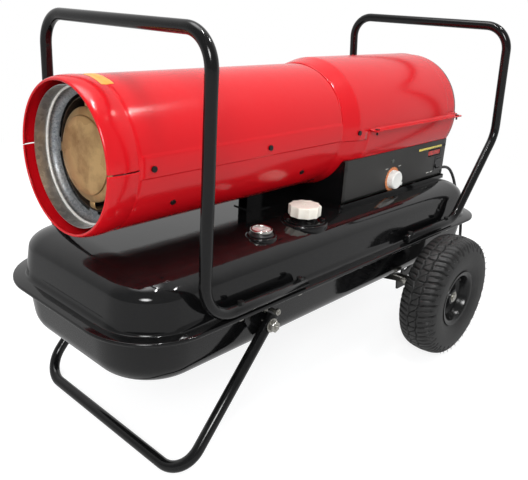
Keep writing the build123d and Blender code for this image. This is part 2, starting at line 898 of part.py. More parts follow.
def tyre_solid(side):
    """Pneumatic tyre: crowned tread, shoulders, bulged walls and beads, hollow inside."""
    half = tyre_width / 2
    bead_half = rim_width / 2 - rim_sheet - 0.1
    spin = Axis((axle_x, 0, axle_z), (0, 1, 0))
    inner_bead = bead_radius + 0.1
    with BuildSketch(wheel_plane(side)) as section:
        with BuildLine():
            ThreePointArc(
                (-tread_half, tyre_radius - tread_crown), (0, tyre_radius),
                (tread_half, tyre_radius - tread_crown),
            )
            for end in sides:
                shoulder = (end * (half - 2.5), tyre_radius - 15)
                Line((end * tread_half, tyre_radius - tread_crown), shoulder)
                ThreePointArc(
                    shoulder, (end * half, (tyre_radius + bead_radius) / 2 + 4),
                    (end * (bead_half + 1), rim_flange_radius + 2.5),
                )
                Polyline(
                    (end * (bead_half + 1), rim_flange_radius + 2.5),
                    (end * bead_half, rim_flange_radius + 0.5),
                    (end * bead_half, inner_bead),
                    (end * (bead_half - 8), inner_bead),
                )
                Line(
                    (end * (bead_half - 8), inner_bead),
                    (end * (half - tyre_wall - 4), rim_flange_radius + 12),
                )
                Line(
                    (end * (half - tyre_wall - 4), rim_flange_radius + 12),
                    (end * (half - tyre_wall - 6), tyre_radius - 22),
                )
            ThreePointArc(
                (-(half - tyre_wall - 6), tyre_radius - 22),
                (0, tyre_radius - tyre_wall - 7),
                (half - tyre_wall - 6, tyre_radius - 22),
            )
        make_face()
        for groove_y in tread_grooves:
            with Locations((groove_y, tyre_radius)):
                Rectangle(tread_groove_width, 2 * tread_depth, mode=Mode.SUBTRACT)
    with BuildPart() as tyre:
        revolve(section.sketch, axis=spin)
        for index in range(shoulder_lugs):
            for end in sides:
                turn = 360 / shoulder_lugs * (index + 0.25 * (1 + end))
                notch = Plane(
                    origin=(axle_x, side * wheel_centre_y, axle_z), x_dir=(0, side, 0),
                    z_dir=(-side, 0, 0),
                ).rotated((0, turn, 0))
                with BuildSketch(notch):
                    with Locations((end * (tread_half + 2), tyre_radius)):
                        Rectangle(22, 2 * tread_depth + 4, rotation=-20 * end)
                extrude(amount=lug_gap / 2, both=True, mode=Mode.SUBTRACT)
    return tyre.part


def rim_solid(side):
    """Pressed rim: two flanges with bead seats, a dished disc with a ridge ring and the
    hub tube through its middle."""
    half = rim_width / 2
    spin = Axis((axle_x, 0, axle_z), (0, 1, 0))
    disc = -4
    with BuildSketch(wheel_plane(side)) as section:
        with BuildLine():
            Polyline(
                (-half, rim_flange_radius),
                (-half + rim_sheet, rim_flange_radius),
                (-half + rim_sheet, bead_radius),
                (half - rim_sheet, bead_radius),
                (half - rim_sheet, rim_flange_radius),
                (half, rim_flange_radius),
                (half, bead_radius - rim_sheet),
                (disc + rim_sheet, bead_radius - rim_sheet),
                (disc + rim_sheet, 42),
                (disc + 7, 38),
                (disc + 7, 32),
                (disc + rim_sheet, 28),
                (disc + rim_sheet, hub_radius),
                (hub_length / 2 - hub_offset, hub_radius),
                (hub_length / 2 - hub_offset, journal_radius + run_gap),
                (-hub_length / 2 - hub_offset, journal_radius + run_gap),
                (-hub_length / 2 - hub_offset, hub_radius),
                (disc, hub_radius),
                (disc, 29),
                (disc + 7 - rim_sheet, 33),
                (disc + 7 - rim_sheet, 37),
                (disc, 41),
                (disc, bead_radius - rim_sheet),
                (-half, bead_radius - rim_sheet),
                close=True,
            )
        make_face()
    with BuildPart() as rim:
        revolve(section.sketch, axis=spin)
        for index in range(rim_windows):
            window = Plane(
                origin=(axle_x, side * wheel_centre_y, axle_z), x_dir=(0, side, 0),
                z_dir=(-side, 0, 0),
            ).rotated((0, 360 / rim_windows * index, 0))
            with BuildSketch(window):
                with Locations((disc + 1, (28 + hub_radius) / 2)):
                    Rectangle(6, 5)
            extrude(amount=4, both=True, mode=Mode.SUBTRACT)
    return rim.part


wheels = []
for side, side_name in ((-1, "left"), (1, "right")):
    with BuildPart() as tyre:
        add(tyre_solid(side))
    tyre.part.label = f"{side_name}_tyre"
    with BuildPart() as rim:
        add(rim_solid(side))
    rim.part.label = f"{side_name}_rim"
    wheels += [tyre, rim]

# ---- Casing: lower shell, upper shell and rear hood -------------------------------------
nose_gap_angle = math.degrees(math.asin(nose_gap / 2 / rim_radius))
tuck_angle = 4
hood_skirt_angle = joggle_bottom
casing_screw_angles = (0, 180)
liner_screw_angles = (liner_screw_angle, -180 - liner_screw_angle)


def casing_screw_planes():
    """Seats of the casing's side screws and of the liner's lower screws."""
    for x in screw_stations:
        over_hood = x > hood_front_x
        seat_radius = hood_radius if over_hood else shell_radius + fit_gap + body_sheet
        if hood_front_x < x + screw_head_radius < cone_rear_x:
            share = (x + screw_head_radius - hood_front_x) / (cone_rear_x - hood_front_x)
            seat_radius = hood_front_radius + share * (hood_radius - hood_front_radius)
        for angle in casing_screw_angles:
            yield barrel_station(x, seat_radius, angle), 7
    for x in liner_screw_stations:
        for angle in liner_screw_angles:
            yield barrel_station(x, shell_radius, angle), shell_radius - liner_radius - fit_gap


with BuildPart() as lower_shell:
    add(nose_sheet(-180 + nose_gap_angle, 180 - 2 * nose_gap_angle))
    add(turned_sheet(lower_wall[:5], body_sheet, -180 - tuck_angle, 180 + 2 * tuck_angle))
    add(turned_sheet(lower_wall[4:], body_sheet, -180, 180))
    for side in sides:
        with BuildSketch(Plane.XY.offset(barrel_z)):
            with Locations(((lip_front_x + lip_rear_x) / 2, side * (hood_radius + lip_reach) / 2)):
                Rectangle(lip_rear_x - lip_front_x, lip_reach - hood_radius + body_sheet)
        extrude(amount=-body_sheet)
    for seat, length in casing_screw_planes():
        add(drill(seat.offset(-length - 4), screw_radius + 0.2, length + 8),
            mode=Mode.SUBTRACT)
    for x in lip_screw_stations:
        for side in sides:
            add(drill(Plane((x, side * lip_screw_y, barrel_z - 5)), screw_radius + 0.2, 10),
                mode=Mode.SUBTRACT)
    add(drill(Plane((fuel_pipe_x, fuel_pipe_y, barrel_z - hood_radius - 5)),
              fuel_pipe_radius + 1, 40), mode=Mode.SUBTRACT)
lower_shell.part.label = "lower_shell"

with BuildPart() as upper_shell:
    add(nose_sheet(nose_gap_angle, 180 - 2 * nose_gap_angle))
    add(
        turned_sheet(
            [(crease_x, crease_radius), (crease_x + 3, shell_radius),
             (shell_rear_x, shell_radius)],
            body_sheet, joggle_top, 180 - 2 * joggle_top,
        )
    )
    strip_radius = shell_radius + fit_gap + body_sheet
    strip_span = joggle_top - joggle_bottom
    for start in (joggle_bottom, 180 - joggle_top):
        add(
            turned_sheet(
                [(crease_x + 3, strip_radius), (joggle_rear_x, strip_radius)],
                body_sheet, start, strip_span,
            )
        )
    for start in (joggle_top, 180 - joggle_top - 1):
        add(
            turned_sheet(
                [(crease_x + 3, strip_radius), (joggle_rear_x, strip_radius)],
                2 * body_sheet + fit_gap, start, 1,
            )
        )
    for seat, length in casing_screw_planes():
        add(drill(seat.offset(-length - 4), screw_radius + 0.2, length + 8),
            mode=Mode.SUBTRACT)
upper_shell.part.label = "upper_shell"

with BuildPart() as rear_hood:
    skirt = [
        (hood_front_x, hood_front_radius), (cone_rear_x, hood_radius),
        (lip_front_x - 5, hood_radius),
    ]
    add(turned_sheet(skirt, body_sheet, hood_skirt_angle, 180 - 2 * hood_skirt_angle))
    add(turned_sheet(hood_wall[:3], body_sheet, 0, 180))
    add(turned_sheet(hood_wall[2:], body_sheet, 0, 180))
    for side in sides:
        with BuildSketch(Plane.XY.offset(barrel_z)):
            with Locations(((lip_front_x + lip_rear_x) / 2, side * (hood_radius + lip_reach) / 2)):
                Rectangle(lip_rear_x - lip_front_x, lip_reach - hood_radius + body_sheet)
        extrude(amount=body_sheet)
    for angle in (28, 152):
        slot = barrel_station((hood_crease_x + 3 + hood_rear_x) / 2, hood_band_radius, angle)
        with BuildSketch(slot.offset(-4)):
            SlotOverall(20, 7)
        extrude(amount=8, mode=Mode.SUBTRACT)
    for seat, length in casing_screw_planes():
        add(drill(seat.offset(-length - 4), screw_radius + 0.2, length + 8),
            mode=Mode.SUBTRACT)
    for x in lip_screw_stations:
        for side in sides:
            add(drill(Plane((x, side * lip_screw_y, barrel_z - 5)), screw_radius + 0.2, 10),
                mode=Mode.SUBTRACT)
rear_hood.part.label = "rear_hood"

with BuildPart() as casing_screws:
    for seat, length in casing_screw_planes():
        add(pan_screw(seat, screw_head_radius, 2.4, screw_radius, length))
    for x in lip_screw_stations:
        for side in sides:
            seat = Plane((x, side * lip_screw_y, barrel_z + body_sheet))
            add(pan_screw(seat, screw_head_radius, 2.4, screw_radius, 9))
    for x, z in panel_screws:
        for side in sides:
            seat = Plane(origin=(x, side * box_half_width, z), x_dir=(1, 0, 0),
                         z_dir=(0, side, 0))
            add(pan_screw(seat, 4, 2, 1.6, 6))
casing_screws.part.label = "casing_screws"

# ---- Outlet and fire tube ---------------------------------------------------------------
with BuildPart() as outlet_liner:
    with BuildSketch(barrel_plane(0)):
        with BuildLine():
            for radius in (liner_radius, liner_radius - liner_sheet):
                Line((liner_front_x, radius), (bead_x - bead_half_width, radius))
                ThreePointArc(
                    (bead_x - bead_half_width, radius),
                    (bead_x, radius + bead_height),
                    (bead_x + bead_half_width, radius),
                )
                Line((bead_x + bead_half_width, radius), (liner_rear_x, radius))
            for x in (liner_front_x, liner_rear_x):
                Line((x, liner_radius), (x, liner_radius - liner_sheet))
        make_face()
    revolve(axis=barrel_axis)
    for x in liner_screw_stations:
        for angle in liner_screw_angles:
            add(drill(barrel_station(x, liner_radius - 6, angle), screw_radius + 0.2, 12),
                mode=Mode.SUBTRACT)
outlet_liner.part.label = "outlet_liner"

dish_outer = liner_radius - liner_sheet - fit_gap
with BuildPart() as outlet_dish:
    with BuildSketch(barrel_plane(0)):
        with BuildLine():
            for skin in (0, liner_sheet):
                Line((bead_x - 3, dish_outer - skin), (bead_x + 2, dish_outer - skin))
            rim_arc = ThreePointArc(
                (bead_x + 2, dish_outer), (dish_x - 3.2, dish_outer - 3.6),
                (dish_x, dish_inner_radius),
            )
            inner_arc = ThreePointArc(
                (bead_x + 2, dish_outer - liner_sheet),
                (dish_x - 4.2, dish_outer - 4.4),
                (dish_x - liner_sheet, dish_inner_radius),
            )
            Line(rim_arc @ 1, inner_arc @ 1)
            Line((bead_x - 3, dish_outer), (bead_x - 3, dish_outer - liner_sheet))
        make_face()
    revolve(axis=barrel_axis)
    for index in range(dish_tabs):
        start = 360 / dish_tabs * index - dish_tab_span / 2
        tab = [
            (dish_x - liner_sheet, chamber_radius + fit_gap),
            (dish_x, chamber_radius + fit_gap),
            (dish_x, dish_inner_radius + 0.6),
            (dish_x - liner_sheet, dish_inner_radius + 0.6),
        ]
        add(turned_solid(tab, start, dish_tab_span))
outlet_dish.part.label = "outlet_dish"

chamber_inner = chamber_radius - chamber_sheet
with BuildPart() as combustion_chamber:
    wall = [(chamber_front_x, chamber_radius), (chamber_rear_x, chamber_radius)]
    add(turned_sheet(wall, chamber_sheet, 0, 360))
    head = [
        (chamber_rear_x - chamber_sheet, burner_mouth_radius),
        (chamber_rear_x, burner_mouth_radius),
        (chamber_rear_x, chamber_radius),
        (chamber_rear_x - chamber_sheet, chamber_radius),
    ]
    add(turned_solid(head))
    with BuildSketch(cross_plane(chamber_rear_x - 5)):
        with PolarLocations(66, 8):
            SlotOverall(24, 5, rotation=60)
    extrude(amount=10, mode=Mode.SUBTRACT)
    for x in (chamber_rear_x - 60, chamber_rear_x - 100):
        for index in range(6):
            port = barrel_station(x, chamber_radius - 6, 60 * index + 15)
            add(drill(port, 7, 12), mode=Mode.SUBTRACT)
combustion_chamber.part.label = "combustion_chamber"

with BuildPart() as chamber_supports:
    for x in (-300, -20):
        for angle in (30, 150, 270):
            blade = [
                (x, chamber_radius + fit_gap), (x, liner_radius - liner_sheet - fit_gap),
                (x + 22, liner_radius - liner_sheet - fit_gap),
                (x + 22, chamber_radius + fit_gap),
            ]
            add(turned_solid(blade, angle - 0.6, 1.2))
            for radius in (chamber_radius + fit_gap, liner_radius - liner_sheet - fit_gap - 1):
                foot = [(x, radius), (x, radius + 1), (x + 22, radius + 1), (x + 22, radius)]
                add(turned_solid(foot, angle, 7))
    for x in liner_screw_stations:
        for angle in liner_screw_angles:
            sleeve = barrel_station(x, liner_radius + fit_gap, angle)
            length = shell_radius - body_sheet - liner_radius - 3 * fit_gap
            add(drill(sleeve, 4.5, length))
            add(drill(sleeve.offset(-1), screw_radius + run_gap, length + 2),
                mode=Mode.SUBTRACT)
chamber_supports.part.label = "chamber_supports"

with BuildPart() as flame_deflector:
    crown_x = dome_rim_x - dome_height
    with BuildSketch(barrel_plane(0)):
        with BuildLine():
            outer = ThreePointArc(
                (crown_x, 0), (dome_rim_x - 0.72 * dome_height, 0.55 * dome_radius),
                (dome_rim_x, dome_radius),
            )
            inner = ThreePointArc(
                (crown_x + chamber_sheet, 0),
                (dome_rim_x - 0.72 * dome_height + chamber_sheet, 0.55 * dome_radius),
                (dome_rim_x + chamber_sheet, dome_radius),
            )
            Line(outer @ 0, inner @ 0)
            Line(outer @ 1, inner @ 1)
        make_face()
    revolve(axis=barrel_axis)
    for index in range(dome_straps):
        angle = 360 / dome_straps * index - 25
        span = math.degrees(strap_width / dome_radius)
        strap = [
            (dome_rim_x, dome_radius - 1),
            (dome_rim_x + 1.5, dome_radius - 1),
            (dome_rim_x + 6, chamber_inner - fit_gap - 1.5),
            (dome_rim_x + 30, chamber_inner - fit_gap - 1.5),
            (dome_rim_x + 30, chamber_inner - fit_gap),
            (dome_rim_x + 4.6, chamber_inner - fit_gap),
        ]
        add(turned_solid(strap, angle, span))
flame_deflector.part.label = "flame_deflector"

with BuildPart() as burner_head:
    tube = [
        (burner_front_x, 26), (burner_front_x, burner_radius), (burner_rear_x, burner_radius),
        (burner_rear_x, burner_radius - 1.2), (burner_front_x + 1.2, burner_radius - 1.2),
        (burner_front_x + 1.2, 26),
    ]
    add(turned_solid(tube))
    collar = [
        (chamber_rear_x, burner_radius - 0.6), (chamber_rear_x, 58),
        (chamber_rear_x + 1.5, 58), (chamber_rear_x + 1.5, burner_radius - 0.6),
    ]
    add(turned_solid(collar))
    for index in range(6):
        vane = [(burner_front_x + 4, 14), (burner_front_x + 4, burner_radius - 0.8),
                (burner_front_x + 16, burner_radius - 0.8), (burner_front_x + 16, 14)]
        add(turned_solid(vane, 60 * index, 2))
    sleeve = [(burner_front_x + 4, 12.5), (burner_front_x + 4, 14.5),
              (burner_front_x + 16, 14.5), (burner_front_x + 16, 12.5)]
    add(turned_solid(sleeve))
    for angle in (60, 180, 300):
        blade = [
            (burner_rear_x - 20, burner_radius - 0.6), (burner_rear_x - 20, hood_radius - 2.4),
            (burner_rear_x - 4, hood_radius - 2.4), (burner_rear_x - 4, burner_radius - 0.6),
        ]
        add(turned_solid(blade, angle, 1.5))
burner_head.part.label = "burner_head"

with BuildPart() as burner_nozzle:
    nozzle = [
        (burner_front_x + 6, 0), (burner_front_x + 6, 3), (burner_front_x + 9, 6),
        (burner_front_x + 12, 6), (burner_front_x + 12, 9), (burner_front_x + 24, 9),
        (burner_front_x + 24, 6), (burner_rear_x, 6), (burner_rear_x, 12),
        (burner_rear_x + nozzle_block, 12), (burner_rear_x + nozzle_block, 0),
    ]
    add(turned_solid(nozzle))
    spider = [(burner_rear_x - 6, 5.5), (burner_rear_x - 6, burner_radius - 1.5),
              (burner_rear_x - 4, burner_radius - 1.5), (burner_rear_x - 4, 5.5)]
    for angle in (0, 120, 240):
        add(turned_solid(spider, angle, 14))
    for offset in (-7, 7):
        electrode = Plane(origin=(burner_rear_x - 3, offset, barrel_z + 18),
                          x_dir=(0, 1, 0), z_dir=(-1, 0, 0))
        add(drill(electrode, 4, 55))
        add(drill(electrode.offset(55), 1, 16))
    with BuildSketch(cross_plane(burner_rear_x - 6)):
        with Locations((0, 14)):
            Rectangle(26, 18)
    extrude(amount=2)
burner_nozzle.part.label = "burner_nozzle"

# ---- Fan, motor and pump ----------------------------------------------------------------
def fan_blade(angle):
    """Pitched blade, broader and flatter towards its tip."""
    with BuildPart() as blade:
        for radius, chord, pitch in (
            (fan_hub_radius - 4, 22, 48), (70, 44, 36), (fan_radius, 52, 26)
        ):
            with BuildSketch(barrel_station(fan_x, radius, angle)):
                Rectangle(2, chord, rotation=-pitch)
        loft(ruled=True)
    return blade.part


with BuildPart() as fan:
    add(drill(cross_plane(fan_x - fan_hub_length / 2), fan_hub_radius, fan_hub_length))
    add(drill(cross_plane(fan_x - fan_hub_length / 2 - 4), shaft_radius,
              cover_rear_x - 8 - fan_x + fan_hub_length / 2))
    for index in range(fan_blades):
        add(fan_blade(360 / fan_blades * index))
fan.part.label = "fan"

with BuildPart() as motor:
    body = [
        (motor_front_x, 14), (motor_front_x, 30), (motor_front_x + 5, motor_radius - 3),
        (motor_front_x + 14, motor_radius), (motor_rear_x - 14, motor_radius),
        (motor_rear_x - 5, motor_radius - 3), (motor_rear_x, 34), (motor_rear_x, 14),
    ]
    add(turned_solid(body))
    core = [(motor_front_x - 4, shaft_radius + run_gap), (motor_front_x - 4, 15),
            (motor_rear_x, 15), (motor_rear_x, shaft_radius + run_gap)]
    add(turned_solid(core))
motor.part.label = "motor"

with BuildPart() as motor_bracket:
    for x in (motor_front_x + 16, motor_rear_x - 19):
        with BuildSketch(cross_plane(x)):
            with Locations((0, -88)):
                Rectangle(76, 86)
            Circle(motor_radius + fit_gap, mode=Mode.SUBTRACT)
        extrude(amount=3)
    with BuildSketch(Plane.XY.offset(barrel_z - hood_radius + 18)):
        with Locations(((motor_front_x + motor_rear_x) / 2, 0)):
            Rectangle(motor_rear_x - motor_front_x - 32, 60)
    extrude(amount=-2)
    limit = [(motor_front_x, 0), (motor_front_x, hood_radius - body_sheet - fit_gap),
             (motor_rear_x, hood_radius - body_sheet - fit_gap), (motor_rear_x, 0)]
    add(turned_solid(limit), mode=Mode.INTERSECT)
motor_bracket.part.label = "motor_bracket"

with BuildPart() as pump:
    housing = [
        (motor_rear_x, shaft_radius + run_gap), (motor_rear_x, 28),
        (motor_rear_x + 4, 28), (motor_rear_x + 4, pump_radius), (pump_rear_x, pump_radius),
        (pump_rear_x, pump_radius + 3), (cover_rear_x - 3, pump_radius + 3),
        (cover_rear_x, pump_radius), (cover_rear_x, 0), (cover_rear_x - 7, 0),
        (cover_rear_x - 7, shaft_radius + run_gap),
    ]
    add(turned_solid(housing))
    for angle in (90, 210, 330):
        add(drill(barrel_station(pump_rear_x - 8, pump_radius - 2, angle), 5, 7))
pump.part.label = "pump"

with BuildPart() as fan_guard:
    outer = hood_band_radius - body_sheet - fit_gap
    with BuildSketch(cross_plane(guard_x)):
        Circle(outer)
        Circle(outer - 5, mode=Mode.SUBTRACT)
        for radius in guard_rings:
            add(ring_face(radius, radius - guard_ring_width))
        with PolarLocations((outer + guard_rings[0]) / 2 - 2, guard_spokes):
            Rectangle(outer - guard_rings[0], guard_ring_width)
    extrude(amount=guard_wire)
    skirt = [(guard_x - 12, outer), (guard_x + 1, outer)]
    add(turned_sheet(skirt, 1.5, 0, 360))
    for angle in (30, 81, 150, 270):
        clip = [
            (guard_x + guard_wire, outer - 6), (guard_x + guard_wire, outer - 1),
            (guard_x, outer - 1), (guard_x, outer - 6),
        ]
        add(turned_solid(clip, angle, 8))
fan_guard.part.label = "fan_guard"

# ---- Control box, its panel and what is in it -------------------------------------------
tray_top_z = tank_top_z + box_sheet
box_bottom_z = tray_top_z
box_inner_half = box_half_width - box_sheet
panel_bottom_z = tank_top_z + tray_rim + fit_gap
box_top_z = barrel_z - 30

with BuildPart() as base_tray:
    with BuildSketch(Plane.XY.offset(tank_top_z)):
        with Locations(((box_front_x + box_rear_x) / 2, 0)):
            RectangleRounded(
                box_rear_x - box_front_x + 2 * tray_margin,
                2 * (box_half_width + tray_margin), tray_margin,
            )
    extrude(amount=tray_rim)
    with BuildSketch(Plane.XY.offset(tank_top_z + box_sheet)):
        with Locations(((box_front_x + box_rear_x) / 2, 0)):
            RectangleRounded(
                box_rear_x - box_front_x + 2 * tray_margin - 2 * box_sheet,
                2 * (box_half_width + tray_margin - box_sheet), tray_margin - box_sheet,
            )
    extrude(amount=tray_rim, mode=Mode.SUBTRACT)
    add(drill(Plane((fuel_pipe_x, fuel_pipe_y, tank_top_z - 5)), fuel_pipe_radius + 1, 10),
        mode=Mode.SUBTRACT)
base_tray.part.label = "base_tray"

with BuildPart() as base_housing:
    with BuildSketch(Plane.XY.offset(box_bottom_z)):
        with Locations(((box_front_x + box_rear_x) / 2, 0)):
            Rectangle(box_rear_x - box_front_x, 2 * box_inner_half)
    extrude(amount=box_sheet)
    for wall_x in (box_front_x, box_rear_x - box_sheet):
        with BuildSketch(Plane.YZ.offset(wall_x)):
            with Locations((0, (box_bottom_z + box_top_z) / 2)):
                Rectangle(2 * box_inner_half, box_top_z - box_bottom_z)
        extrude(amount=box_sheet)
    for flange_x in (box_front_x + box_flange / 2, box_rear_x - box_flange / 2):
        for side in sides:
            with BuildSketch(Plane.XZ.offset(-side * box_inner_half)):
                with Locations((flange_x, (box_bottom_z + box_top_z) / 2)):
                    Rectangle(box_flange, box_top_z - box_bottom_z)
            extrude(amount=side * box_sheet)
    add(barrel_tool, mode=Mode.SUBTRACT)
    add(drill(Plane((fuel_pipe_x, fuel_pipe_y, tank_top_z - 5)), fuel_pipe_radius + 1, 10),
        mode=Mode.SUBTRACT)
    gland_hole = Plane(origin=(box_rear_x - 5, gland_y, gland_z), x_dir=(0, 1, 0),
                       z_dir=(1, 0, 0))
    add(drill(gland_hole, gland_radius - 3 + run_gap, 10), mode=Mode.SUBTRACT)
    for x, z in panel_screws:
        for side in sides:
            hole = Plane(origin=(x, side * (box_half_width - 6), z), x_dir=(1, 0, 0),
                         z_dir=(0, side, 0))
            add(drill(hole, 1.8, 10), mode=Mode.SUBTRACT)
base_housing.part.label = "base_housing"


def side_panel(side):
    """Upright side of the control box, cut to the curve of the barrel above it."""
    with BuildPart() as panel:
        with BuildSketch(Plane.XZ.offset(-side * box_half_width)):
            with Locations(
                ((box_front_x + box_rear_x) / 2, (panel_bottom_z + box_top_z) / 2)
            ):
                Rectangle(box_rear_x - box_front_x, box_top_z - panel_bottom_z)
        extrude(amount=side * box_sheet)
        add(barrel_tool, mode=Mode.SUBTRACT)
        for x, z in panel_screws:
            hole = Plane(origin=(x, side * (box_half_width - 6), z), x_dir=(1, 0, 0),
                         z_dir=(0, side, 0))
            add(drill(hole, 1.8, 10), mode=Mode.SUBTRACT)
    return panel.part


panel_face = Plane(origin=(0, -box_half_width, 0), x_dir=(1, 0, 0), z_dir=(0, -1, 0))
with BuildPart() as control_panel:
    add(side_panel(-1))
    with BuildSketch(panel_face):
        with Locations((dial_x, dial_z)):
            Circle(knob_shaft_radius + 2)
        with Locations((lamp_x, lamp_z)):
            Circle(4)
        with Locations((display_x, display_z)):
            Rectangle(display_width - 4, display_height - 4)
        with Locations((switch_x, switch_z)):
            Rectangle(switch_width + 4, switch_height + 4)
    extrude(amount=-3 * box_sheet, mode=Mode.SUBTRACT)
control_panel.part.label = "control_panel"

with BuildPart() as side_cover:
    add(side_panel(1))
    with BuildSketch(Plane.XZ.offset(-box_half_width)):
        with GridLocations(0, 9, 1, 5):
            with Locations((box_rear_x - 90, 376)):
                SlotOverall(60, 3.2)
    extrude(amount=3 * box_sheet, mode=Mode.SUBTRACT)
side_cover.part.label = "side_cover"

with BuildPart() as thermostat_dial:
    with BuildSketch(panel_face):
        with Locations((dial_x, dial_z)):
            Circle(dial_radius)
            Circle(knob_shaft_radius + 1, mode=Mode.SUBTRACT)
    extrude(amount=1.5)
thermostat_dial.part.label = "thermostat_dial"

knob_face = panel_face.offset(1.5 + fit_gap)
with BuildPart() as thermostat_knob:
    with BuildSketch(knob_face):
        with Locations((dial_x, dial_z)):
            Circle(knob_radius)
    extrude(amount=knob_depth)
    chamfer(thermostat_knob.faces().sort_by(Axis.Y)[0].edges(), 1.5)
    with BuildSketch(knob_face):
        with Locations((dial_x, dial_z)):
            Polygon((0, -4.5), (knob_pointer_reach, -3), (knob_pointer_reach, 3), (0, 4.5),
                    rotation=knob_pointer_angle, align=None)
    extrude(amount=6)
    with BuildSketch(panel_face.offset(-8)):
        with Locations((dial_x, dial_z)):
            Circle(knob_shaft_radius)
    extrude(amount=8 + 1.5 + fit_gap + 1)
thermostat_knob.part.label = "thermostat_knob"

with BuildPart() as thermostat_body:
    with BuildSketch(panel_face.offset(-box_sheet)):
        with Locations((dial_x, dial_z)):
            Rectangle(34, 34)
            Circle(knob_shaft_radius + run_gap, mode=Mode.SUBTRACT)
    extrude(amount=-26)
thermostat_body.part.label = "thermostat_body"

with BuildPart() as indicator_lamp:
    with BuildSketch(panel_face.offset(-9)):
        with Locations((lamp_x, lamp_z)):
            Circle(3.8)
    extrude(amount=9)
    with BuildSketch(panel_face):
        with Locations((lamp_x, lamp_z)):
            Circle(5)
    extrude(amount=2.5)
    fillet(indicator_lamp.faces().sort_by(Axis.Y)[0].edges(), 1.8)
indicator_lamp.part.label = "indicator_lamp"

with BuildPart() as display_window:
    with BuildSketch(panel_face):
        with Locations((display_x, display_z)):
            RectangleRounded(display_width, display_height, 1.5)
    extrude(amount=1.2)
    with BuildSketch(panel_face):
        with Locations((display_x, display_z)):
            Rectangle(display_width - 4.6, display_height - 4.6)
    extrude(amount=-4)
display_window.part.label = "display_window"

switch_bezel = 2
switch_depth = 20
rocker_pin = 1.5
rocker_radius = 11.4
with BuildPart() as switch_frame:
    with BuildSketch(panel_face):
        with Locations((switch_x, switch_z)):
            RectangleRounded(switch_width + 8, switch_height + 8, 1.5)
    extrude(amount=switch_bezel)
    with BuildSketch(panel_face):
        with Locations((switch_x, switch_z)):
            Rectangle(switch_width + 3.4, switch_height + 3.4)
    extrude(amount=-switch_depth)
    with BuildSketch(panel_face.offset(switch_bezel)):
        with Locations((switch_x, switch_z)):
            Rectangle(switch_width, switch_height)
    extrude(amount=-switch_depth + 2, mode=Mode.SUBTRACT)
    with BuildSketch(Plane.YZ.offset(switch_x)):
        with Locations((-box_half_width + 4, switch_z)):
            Circle(rocker_pin)
    extrude(amount=switch_width / 2 + 0.5, both=True)
switch_frame.part.label = "switch_frame"

with BuildPart() as rocker_switch:
    with BuildSketch(Plane.YZ.offset(switch_x)):
        with Locations((-box_half_width + 4, switch_z)):
            Polygon((3.4, -4), (3.4, 4), (-2, rocker_radius), (-8.2, rocker_radius - 1.6),
                    (-5.8, 0), (-8.2, 1.6 - rocker_radius), (-2, -rocker_radius),
                    rotation=-rocker_tilt, align=None)
            Circle(rocker_pin + run_gap, mode=Mode.SUBTRACT)
    extrude(amount=switch_width / 2 - fit_gap, both=True)
rocker_switch.part.label = "rocker_switch"

with BuildPart() as barrel_saddle:
    with BuildSketch(Plane.YZ.offset(saddle_front_x)):
        with Locations((0, (tank_top_z + barrel_z) / 2)):
            Rectangle(2 * saddle_half_width, barrel_z - tank_top_z)
        with Locations((0, (tank_top_z + barrel_z) / 2 - 3)):
            Rectangle(2 * saddle_half_width - 4, barrel_z - tank_top_z, mode=Mode.SUBTRACT)
        with Locations((0, tank_top_z + 1)):
            Rectangle(2 * saddle_half_width + 24, 2)
    extrude(amount=box_front_x - tray_margin - fit_gap - saddle_front_x)
    add(barrel_tool, mode=Mode.SUBTRACT)
barrel_saddle.part.label = "barrel_saddle"

with BuildPart() as control_board:
    with BuildSketch(Plane.XY.offset(box_bottom_z + box_sheet + 8)):
        with Locations((330, -40)):
            Rectangle(120, 80)
    extrude(amount=1.6)
    for x in (275, 385):
        for y in (-75, -5):
            add(drill(Plane((x, y, box_bottom_z + box_sheet)), 3, 8))
    with BuildSketch(Plane.XY.offset(box_bottom_z + box_sheet + 9.6)):
        with Locations((300, -55), (350, -25)):
            Rectangle(18, 16)
    extrude(amount=7)
    with BuildSketch(Plane.XY.offset(box_bottom_z + box_sheet)):
        with Locations((115, -40)):
            Rectangle(70, 58)
    extrude(amount=16)
control_board.part.label = "control_board"

# ---- Fuel pipe --------------------------------------------------------------------------
pipe_low_z = tank_top_z - 100
with BuildPart() as fuel_pipe:
    route = [
        (fuel_pipe_x, fuel_pipe_y, pipe_low_z),
        (fuel_pipe_x, fuel_pipe_y, barrel_z),
        (fuel_pipe_x, 0, barrel_z),
        (burner_rear_x + nozzle_block, 0, barrel_z),
    ]
    add(bent_tube(route, [15, 12], fuel_pipe_radius, 0))
fuel_pipe.part.label = "fuel_pipe"

# ---- Power cord -------------------------------------------------------------------------
boot_end_x = box_rear_x + boot_length
cord_route = [
    (boot_end_x, gland_y, gland_z),
    (505, gland_y, gland_z),
    (529, -107, 321.5),
    (530, -121, 284),
    (526, -146, 232),
    (521, -157, 172),
    (521, -158, 110),
    (530, -154, 50),
    (556, -150.6, coil_z),
    (602, -150.5, coil_z),
]


def arc_radii(route):
    """Largest arc at each corner: 0.45 of the shorter run over the tangent of half the
    turn."""
    radii = []
    for before, corner, after in zip(route, route[1:], route[2:]):
        first = Vector(*corner) - Vector(*before)
        second = Vector(*after) - Vector(*corner)
        half_turn = math.radians(first.get_angle(second)) / 2
        radii.append(0.45 * min(first.length, second.length) / math.tan(half_turn))
    return radii


cord_radii = arc_radii(cord_route)
print("cord radii", [round(radius, 1) for radius in cord_radii])

